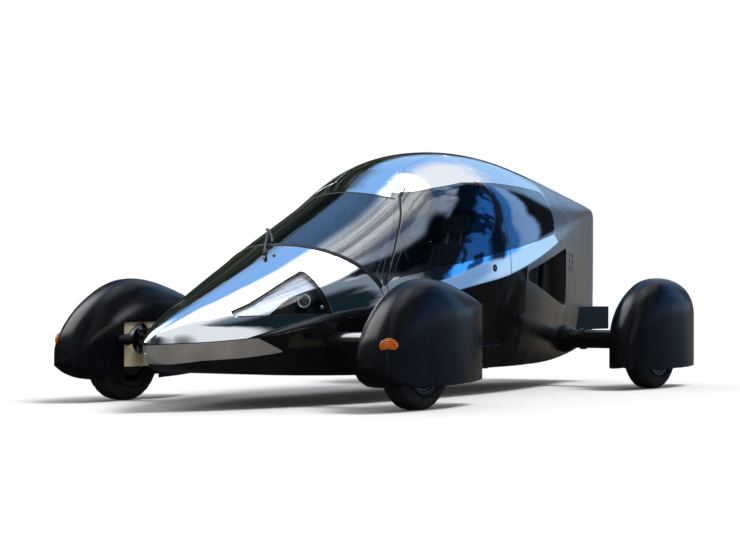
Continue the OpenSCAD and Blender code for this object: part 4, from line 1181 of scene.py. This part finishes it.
bench = stuffed("bench_cushion", balls([(-1.704, .338, .380, .040), (-1.724, .338, .276, .030), (-2.120, .300, .332, .040), (-2.120, .300, .276, .030)]), ROOT, WEAVE, res=.018,
                seams=[lambda P, k=k: P[:, 0] + k for k in (1.80, 1.90, 2.00)] + [lambda P: P[:, 1]], lift=rest_z(.268))
bench_b = stuffed("bench_back", balls([(-2.160, .298, .438, .044), (-2.300, .250, .878, .036)]), ROOT, WEAVE, res=.018,
                  seams=[lambda P, k=k: (P[:, [0, 2]] - [-2.13, .35]) @ np.array([-.305, .952]) - k for k in (.18, .28, .38, .47)] + [lambda P: P[:, 1]])
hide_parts("rear_bench")
for nm, s in (("left", 1), ("right", -1)):
    rbox(nm + "_seat_pan", (-1.318, s * SY - .148, .212), (-.902, s * SY + .148, .2335), .006, [PLASTIC], ROOT)
    for k, yy in (("inner", -.118), ("outer", .118)):
        rbox("%s_seat_rail_%s" % (nm, k), (-1.300, s * SY + yy - .016, .1755), (-.920, s * SY + yy + .016, .2115), .004, [STEEL], ROOT)
        sweep("%s_head_post_%s" % (nm, k), np.array([[-1.5035 + FX, s * SY + yy * .36, .838], [-1.5105 + FX, s * SY + yy * .36, .868], [-1.5175 + FX, s * SY + yy * .36, .898]]), .006, [STEEL], ROOT)
rbox("bench_pan", (-2.098, -.238, .1775), (-1.742, .238, .2555), .008, [LINER], ROOT)

# roll cage as smooth bent tubes
def hoop_path(x):
    th = np.linspace(.02, math.pi / 2, 26)
    up = upper_pt(np.full(26, x), th); un = upper_n(up)
    s_ = np.linspace(.34, .985, 22)
    lo = lower_pt(np.full(22, x), 1 - s_) if lower_pt(np.array([x]), np.array([1.]))[0, 2] < lower_pt(np.array([x]), np.array([0.]))[0, 2] else lower_pt(np.full(22, x), s_)
    P = np.concatenate([lo, up])
    t = np.gradient(P, axis=0); nrm = np.stack([np.zeros(len(P)), t[:, 2], -t[:, 1]], -1)
    nrm /= np.maximum(np.linalg.norm(nrm, axis=1), 1e-9)[:, None]
    q = P - nrm * .066
    q[-1, 1] = 0
    q = q[q[:, 2] > .215]
    return np.concatenate([q, (q * [1, -1, 1])[::-1][1:]])


def tube_run(name, pts, n=60):
    return sweep(name, smooth_path(np.asarray(pts) + [FX, 0, 0], n), .0165, [SATIN], ROOT, seg=18)


cage = tube_run("cage_front_hoop", hoop_path(-1.590)[::3], 110)
tube_run("cage_rear_hoop", hoop_path(-2.260)[::3], 110)
for nm, s in (("left", 1), ("right", -1)):
    q = PILLAR + [.010, -.020]
    py_ = side_y(q[:, 0], q[:, 1])
    pil = np.column_stack([q[:, 0], s * (py_ - .070), q[:, 1] - .030])
    xs = np.linspace(-.901, -2.260, 12)
    rail_ = np.column_stack([xs, np.full(12, s * .150), top_z(xs, np.full(12, .150)) - .070])
    tube_run("cage_%s_pillar" % nm, pil, 40)
    tube_run("cage_%s_rail" % nm, np.concatenate([[[-.871, s * (float(side_y(np.array([-.871]), np.array([1.068]))[0]) - .070), 1.038]], rail_]), 70)
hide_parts("roll_cage")

# steering wheel on its own turning body: round rim, three spokes, hub with cap
ax_s = np.array([-math.cos(math.radians(22)), 0, math.sin(math.radians(22))])
up_s = np.array([math.cos(math.radians(68)), 0, math.sin(math.radians(68))]); sd_s = np.array([0, 1., 0])
sc = np.array([-.760 + FX, SY, .735])
an = np.linspace(0, 2 * math.pi, 25)
wheel = lathe("steering_wheel_rim", [(.140 + .0137 * math.cos(a), .0137 * math.sin(a)) for a in an], sc, ax_s, [LEATHER], "steering_wheel_body", seg=96)
lathe("steering_wheel_hub", [(.0005, -.034), (.030, -.034), (.038, -.028), (.0395, -.010), (.0395, .000), (.036, .005), (.026, .0062), (.024, .0040), (.0005, .0040)], sc, ax_s, [PLASTIC],
      "steering_wheel_body")
for k in range(3):
    a = 2 * math.pi * k / 3
    d_ = up_s * math.cos(a) + sd_s * math.sin(a)
    pts = np.array([sc + d_ * r + ax_s * h_ for r, h_ in ((.030, -.008), (.060, -.0075), (.100, -.004), (.131, -.001))])
    sweep("steering_wheel_spoke_%d" % k, smooth_path(pts, 14), np.linspace(.012, .008, 14), [SATIN], "steering_wheel_body", flat=.45)
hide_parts("steering_wheel")
lathe("column_shroud", [(.0185, -.172), (.034, -.172), (.036, -.165), (.034, -.090), (.031, -.062), (.028, -.058), (.0185, -.058), (.0185, -.172)], sc, ax_s, [PLASTIC], ROOT)

# instrument binnacle with two plain dials
thb = np.linspace(0, math.pi, 44)
arc = lambda x, k: np.column_stack([np.full(44, x + FX), SY + .112 * k * np.sign(np.cos(thb)) * np.abs(np.cos(thb)) ** .8, .660 + .092 * k * np.abs(np.sin(thb)) ** .8])
lay = [arc(-.470, .55), arc(-.490, .80), arc(-.520, .96), arc(-.560, 1.), arc(-.604, 1.), arc(-.6075, .985), arc(-.604, .955), arc(-.556, .93), arc(-.552, .90), arc(-.551, .30)]
V = np.concatenate(lay); m_ = 44
F = [(r * m_ + i, r * m_ + i + 1, (r + 1) * m_ + i + 1, (r + 1) * m_ + i) for r in range(len(lay) - 1) for i in range(m_ - 1)]
F += [tuple(range(m_)), tuple((len(lay) - 1) * m_ + i for i in range(m_ - 1, -1, -1))]
o = add("dash_binnacle", V, F, [PLASTIC], ROOT)
bm = bmesh.new(); bm.from_mesh(o.data); bmesh.ops.recalc_face_normals(bm, faces=bm.faces); bm.to_mesh(o.data); bm.free()
da = np.array([-1., 0, .10]); da /= np.linalg.norm(da)
for k, dy in ((0, -.047), (1, .047)):
    c = np.array([-.556 + FX, SY + dy, .704])
    lathe("dial_%d_bezel" % k, [(.0370, -.002), (.0425, -.002), (.0430, .004), (.0415, .0062), (.0380, .0055), (.0370, .002), (.0370, -.002)], c, da, [STEEL], ROOT)
    lathe("dial_%d_face" % k, [(.0005, -.0015), (.0368, -.0015), (.0368, .0006), (.030, .0009), (.0005, .0009)], c, da, [DIAL], ROOT)
    uu = np.array([0, 1., 0]); vv = np.cross(da, uu)
    tick_v, tick_f = [], []
    for t_ in range(13):
        a = math.radians(-135 + 270 * t_ / 12)
        d_ = uu * math.sin(a) + vv * -math.cos(a); e_ = uu * math.cos(a) + vv * math.sin(a)
        r0 = .027 if t_ % 3 == 0 else .030
        q = [c + d_ * rr + e_ * ww * .0007 + da * hh for hh in (.0006, .0016) for rr, ww in ((r0, -1), (.034, -1), (.034, 1), (r0, 1))]
        b0 = len(tick_v); tick_v += q
        tick_f += [(b0 + 4, b0 + 5, b0 + 6, b0 + 7), (b0, b0 + 3, b0 + 2, b0 + 1)] + [(b0 + i, b0 + (i + 1) % 4, b0 + 4 + (i + 1) % 4, b0 + 4 + i) for i in range(4)]
    add("dial_%d_marks" % k, np.array(tick_v), tick_f, [PALE], ROOT, smooth=False)
    nd = uu * math.sin(-2.0) + vv * -math.cos(-2.0)
    sweep("dial_%d_needle" % k, np.array([c - nd * .006 + da * .003, c + nd * .012 + da * .003, c + nd * .028 + da * .003]), np.array([.0014, .0011, .0006]), [AMBER], ROOT, seg=8)
# mirror glass, pedals
rbox("mirror_glass", (-.8020, -.096, 1.0135), (-.7998, .096, 1.0605), .0008, [CHROME], ROOT)
for k, yy in enumerate((.190, .262, .335)):
    rbox("pedal_%d" % k, (-.300, yy - .024, .300), (-.290, yy + .024, .372), .004, [RUBBER], ROOT)
    sweep("pedal_%d_arm" % k, smooth_path(np.array([[-.288, yy, .336], [-.262, yy, .400], [-.262, yy, .470], [-.300, yy, .545]]) + [FX, 0, 0], 16), .007, [STEEL], ROOT)


# ------------------------------------------------------------------ CAD nodes that stay, with their materials
# the intake ducts take the darkened lining, with its painted shade
STAY = {"intake_ducts": DUCT_LINING_PAINTED_SHADE, "rear_side_boxes": SATIN, "front_beam": BLACK, "rear_beam": BLACK, "rear_uprights": STEEL,
        "front_left_knuckle": STEEL, "front_right_knuckle": STEEL, "front_left_rim": RIM, "front_right_rim": RIM,
        "rear_left_rim": RIM, "rear_right_rim": RIM, "front_seats": LINER, "rear_bench": LINER, "dashboard": PLASTIC, "steering_column": PLASTIC,
        "steering_wheel": PLASTIC, "roll_cage": SATIN, "engine_block": ENGINE, "wiper": PLASTIC, "interior_mirror": PLASTIC, "jack_pads": RUBBER,
        "plate_bracket": PLASTIC, "headlamps": PLASTIC}
for n, m in STAY.items():
    o = NODES[n]
    if n in ("rear_side_boxes", "engine_block", "dashboard", "jack_pads", "interior_mirror"):
        ez = o.modifiers.new("eased_edges", "BEVEL"); ez.width = .004 if n != "interior_mirror" else .002; ez.segments = 3; ez.limit_method = "ANGLE"; ez.angle_limit = .6
    o.data.materials.clear()
    o.data.materials.append(m)

# ------------------------------------------------------------------ stage, light, camera
scene = bpy.context.scene
scene.view_settings.view_transform = "Standard"
w = bpy.data.worlds.new("studio")
scene.world = w
w.use_nodes = True
nt = w.node_tree
L = nt.links.new
out = nt.nodes["World Output"]
plain = nt.nodes["Background"]
plain.inputs[0].default_value = (1, 1, 1, 1)
sky = nt.nodes.new("ShaderNodeBackground")
tc = nt.nodes.new("ShaderNodeTexCoord")
sp = nt.nodes.new("ShaderNodeSeparateXYZ")
L(tc.outputs["Generated"], sp.inputs[0])


def math_(op, a, b=None, c=None):
    n = nt.nodes.new("ShaderNodeMath"); n.operation = op
    for i, v in enumerate((a, b, c)):
        if v is None:
            continue
        if hasattr(v, "is_output"):
            L(v, n.inputs[i])
        else:
            n.inputs[i].default_value = v
    return n.outputs[0]


def step(v, a, b):
    n = nt.nodes.new("ShaderNodeMapRange"); n.interpolation_type = "SMOOTHSTEP"
    n.inputs["From Min"].default_value = a; n.inputs["From Max"].default_value = b
    L(v, n.inputs["Value"])
    return n.outputs["Result"]


def wnoise(scale, detail, stretch=(1, 1, 1), rot=(0, 0, 0)):
    mp = nt.nodes.new("ShaderNodeMapping")
    mp.inputs["Scale"].default_value = stretch; mp.inputs["Rotation"].default_value = rot
    L(tc.outputs["Generated"], mp.inputs["Vector"])
    n = node(nt, "ShaderNodeTexNoise", Scale=scale, Detail=detail, Roughness=.6)
    L(mp.outputs[0], n.inputs["Vector"])
    return n.outputs["Fac"]


Z, Y, X = sp.outputs["Z"], sp.outputs["Y"], sp.outputs["X"]
# what the polished skin mirrors, by bearing and height: leaves to the right, open sky, a bright veil overhead, dark screens to the left
az = math_("ARCTAN2", Y, math_("MULTIPLY", X, -1.))
naz = math_("MULTIPLY", az, -1.)
rough_ = math_("MULTIPLY_ADD", wnoise(5., 8.), 2., -1.)
azr = math_("MULTIPLY_ADD", rough_, .16, az)
zr = math_("MULTIPLY_ADD", rough_, .10, Z)
streak = wnoise(2.6, 7., stretch=(1., 4.2, .6), rot=(.35, .25, .60))
bars = wnoise(3.4, 5., stretch=(.7, 3.4, 1.), rot=(.9, .2, .1))


def times(*v):
    r_ = v[0]
    for k in v[1:]:
        r_ = math_("MULTIPLY", r_, k)
    return r_


def fall(v, a, b):
    return math_("SUBTRACT", 1., step(v, a, b))


def facing(d):
    n = nt.nodes.new("ShaderNodeVectorMath"); n.operation = "DOT_PRODUCT"
    L(tc.outputs["Generated"], n.inputs[0]); n.inputs[1].default_value = Vector(d).normalized()
    return n.outputs["Value"]


c_leaf = mix(nt, step(wnoise(9., 8.), .45, .75), (.013, .018, .015), (.13, .145, .105))
c_leaf = mix(nt, step(wnoise(17., 5.), .64, .70), c_leaf, (.85, .90, .95))
c_blue = mix(nt, step(Z, .25, .85), (.42, .68, 1.02), (.27, .53, 1.0))
white_f = times(step(azr, -.44, -.22), step(zr, .44, .60))
col = mix(nt, white_f, c_blue, (.94, .97, 1.02))
# side glass: stripes of dark, pale and blue that lean back with height, a dark line of trees, then pale streaks
zz = math_("MAXIMUM", math_("SUBTRACT", Z, .27), 0.)
s_ = math_("ADD", math_("MULTIPLY_ADD", rough_, .06, az), zz)
edge_b = math_("MULTIPLY_ADD", math_("MAXIMUM", math_("SUBTRACT", az, .40), 0.), .35, .09)
left_b = math_("SUBTRACT", az, math_("MULTIPLY", math_("MAXIMUM", math_("SUBTRACT", Z, .35), 0.), .5))
side = times(step(left_b, -.03, .03), fall(az, .80, .88), step(math_("SUBTRACT", Z, edge_b), -.02, .02), fall(Z, .83, .87))
c_side = mix(nt, step(s_, .14, .19), (.018, .022, .024), (.62, 1.05, 1.85))
c_side = mix(nt, step(s_, .26, .31), c_side, (.09, .46, 1.40))
c_side = mix(nt, step(s_, .36, .40), c_side, (.010, .028, .08))
c_side = mix(nt, step(s_, .46, .51), c_side, (.07, .46, 1.55))
c_side = mix(nt, times(step(bars, .50, .55), step(s_, .46, .51)), c_side, (.010, .05, .18))
c_side = mix(nt, step(s_, .66, .76), c_side, (.006, .012, .020))
c_side = mix(nt, times(step(zr, .54, .58), fall(az, .46, .54)), c_side, (.008, .022, .055))
c_side = mix(nt, times(step(zr, .66, .70), fall(az, .58, .66)), c_side, mix(nt, step(streak, .40, .56), (.10, .30, .80), (1.4, 1.65, 2.0)))
col = mix(nt, side, col, c_side)
# belt line
belt = times(step(az, .01, .05), fall(az, .86, .92), fall(math_("SUBTRACT", Z, edge_b), -.02, .02))
col = mix(nt, belt, col, mix(nt, step(azr, .40, .54), (.50, .78, 1.06), (.20, .37, .66)))
# grey, then dark screens, then a white one
col = mix(nt, times(step(azr, .78, .88), fall(Z, .84, .92)), col, (.20, .25, .30))
col = mix(nt, times(step(azr, .96, 1.08), fall(zr, .70, .86)), col, (.008, .018, .026))
col = mix(nt, times(step(az, 1.34, 1.39), fall(az, 1.70, 1.85)), col, (.92, .94, .96))
col = mix(nt, step(az, 1.75, 1.95), col, (.05, .055, .06))
lean = math_("MULTIPLY_ADD", math_("MAXIMUM", math_("SUBTRACT", .62, Z), 0.), .75, math_("MULTIPLY", azr, -1.))
col = mix(nt, times(step(lean, .64, .76), fall(zr, .62, .82)), col, c_leaf)
# low down: leaves, grey behind
low = mix(nt, step(az, -.42, -.32), c_leaf, (.17, .17, .175))
low_f = times(fall(zr, .17, .27), fall(az, .00, .04))
col = mix(nt, low_f, col, low)
# plain grey room behind the camera
back_f = step(math_("ABSOLUTE", az), 2.0, 2.5)
col = mix(nt, back_f, col, mix(nt, step(Z, .0, .8), (.20, .22, .25), (.42, .46, .52)))
veil = times(step(Z, .835, .885), step(az, -.62, -.36), fall(az, .80, .95), math_("MULTIPLY_ADD", step(streak, .40, .58), 2.6, .15))
box_ = math_("MULTIPLY", step(facing((.12, -.58, .80)), .84, .97), 9.)
addn = nt.nodes.new("ShaderNodeMix"); addn.data_type = "RGBA"; addn.blend_type = "ADD"; addn.inputs[0].default_value = 1.
L(col, addn.inputs[6]); L(math_("ADD", veil, box_), addn.inputs[7])
c_ground = mix(nt, step(wnoise(4., 5.), .3, .7), (.20, .175, .14), (.30, .265, .215))
ground_f = times(step(Z, -.20, -.08), fall(az, .04, .12), step(az, -.55, -.35))
c_ground = mix(nt, ground_f, (.012, .0125, .014), c_ground)
L(mix(nt, step(Z, -.03, .02), c_ground, addn.outputs[2]), sky.inputs[0])
sky.inputs[1].default_value = 1.0
lpw = nt.nodes.new("ShaderNodeLightPath")
ms = nt.nodes.new("ShaderNodeMixShader")
L(math_("MAXIMUM", lpw.outputs["Is Glossy Ray"], lpw.outputs["Is Transmission Ray"]), ms.inputs[0])
L(plain.outputs[0], ms.inputs[1]); L(sky.outputs[0], ms.inputs[2])
# rays from matt surfaces get a softer white
ms2 = nt.nodes.new("ShaderNodeMixShader")
soft = nt.nodes.new("ShaderNodeBackground")
soft.inputs[0].default_value = (.97, .985, 1., 1); soft.inputs[1].default_value = .52
L(lpw.outputs["Is Diffuse Ray"], ms2.inputs[0])
L(ms.outputs[0], ms2.inputs[1]); L(soft.outputs[0], ms2.inputs[2])
L(ms2.outputs[0], out.inputs["Surface"])

FLOOR, fnt, fb = new_mat("pale_floor")
fnt.links.new(mix(fnt, ramp(fnt, noise(fnt, 1.2, 4), 0, 1), (.88, .88, .88), (.86, .86, .86)), fb.inputs["Base Color"])
fb.inputs["Roughness"].default_value = .9
fb.inputs["Specular IOR Level"].default_value = .1
me = bpy.data.meshes.new("floor")
S = 90.
me.from_pydata([(-S, -S, 0), (S, -S, 0), (S, S, 0), (-S, S, 0)], [], [(0, 1, 2, 3)])
me.materials.append(FLOOR)
floor = bpy.data.objects.new("floor", me)
scene.collection.objects.link(floor)
floor.visible_glossy = False

sd = bpy.data.lights.new("soft_key", "SUN")
sd.energy = 2.3; sd.angle = .45
sun = bpy.data.objects.new("soft_key", sd)
sun.rotation_euler = Vector((.10, -.42, -.90)).to_track_quat("-Z", "Y").to_euler()
scene.collection.objects.link(sun)
sun.visible_glossy = False

cam_d = bpy.data.cameras.new("camera")
cam_d.sensor_width = 36.
cam_d.lens = 2345. / 740. * 36.
cam = bpy.data.objects.new("camera", cam_d)
scene.collection.objects.link(cam)
cam.location = (9.90 + FX, 6.784, .642)
cam.rotation_euler = Vector((-.85, -.527, 0)).to_track_quat("-Z", "Y").to_euler()
cam_d.shift_y = 1.5 / 740.
cam_d.clip_end = 300
scene.camera = cam
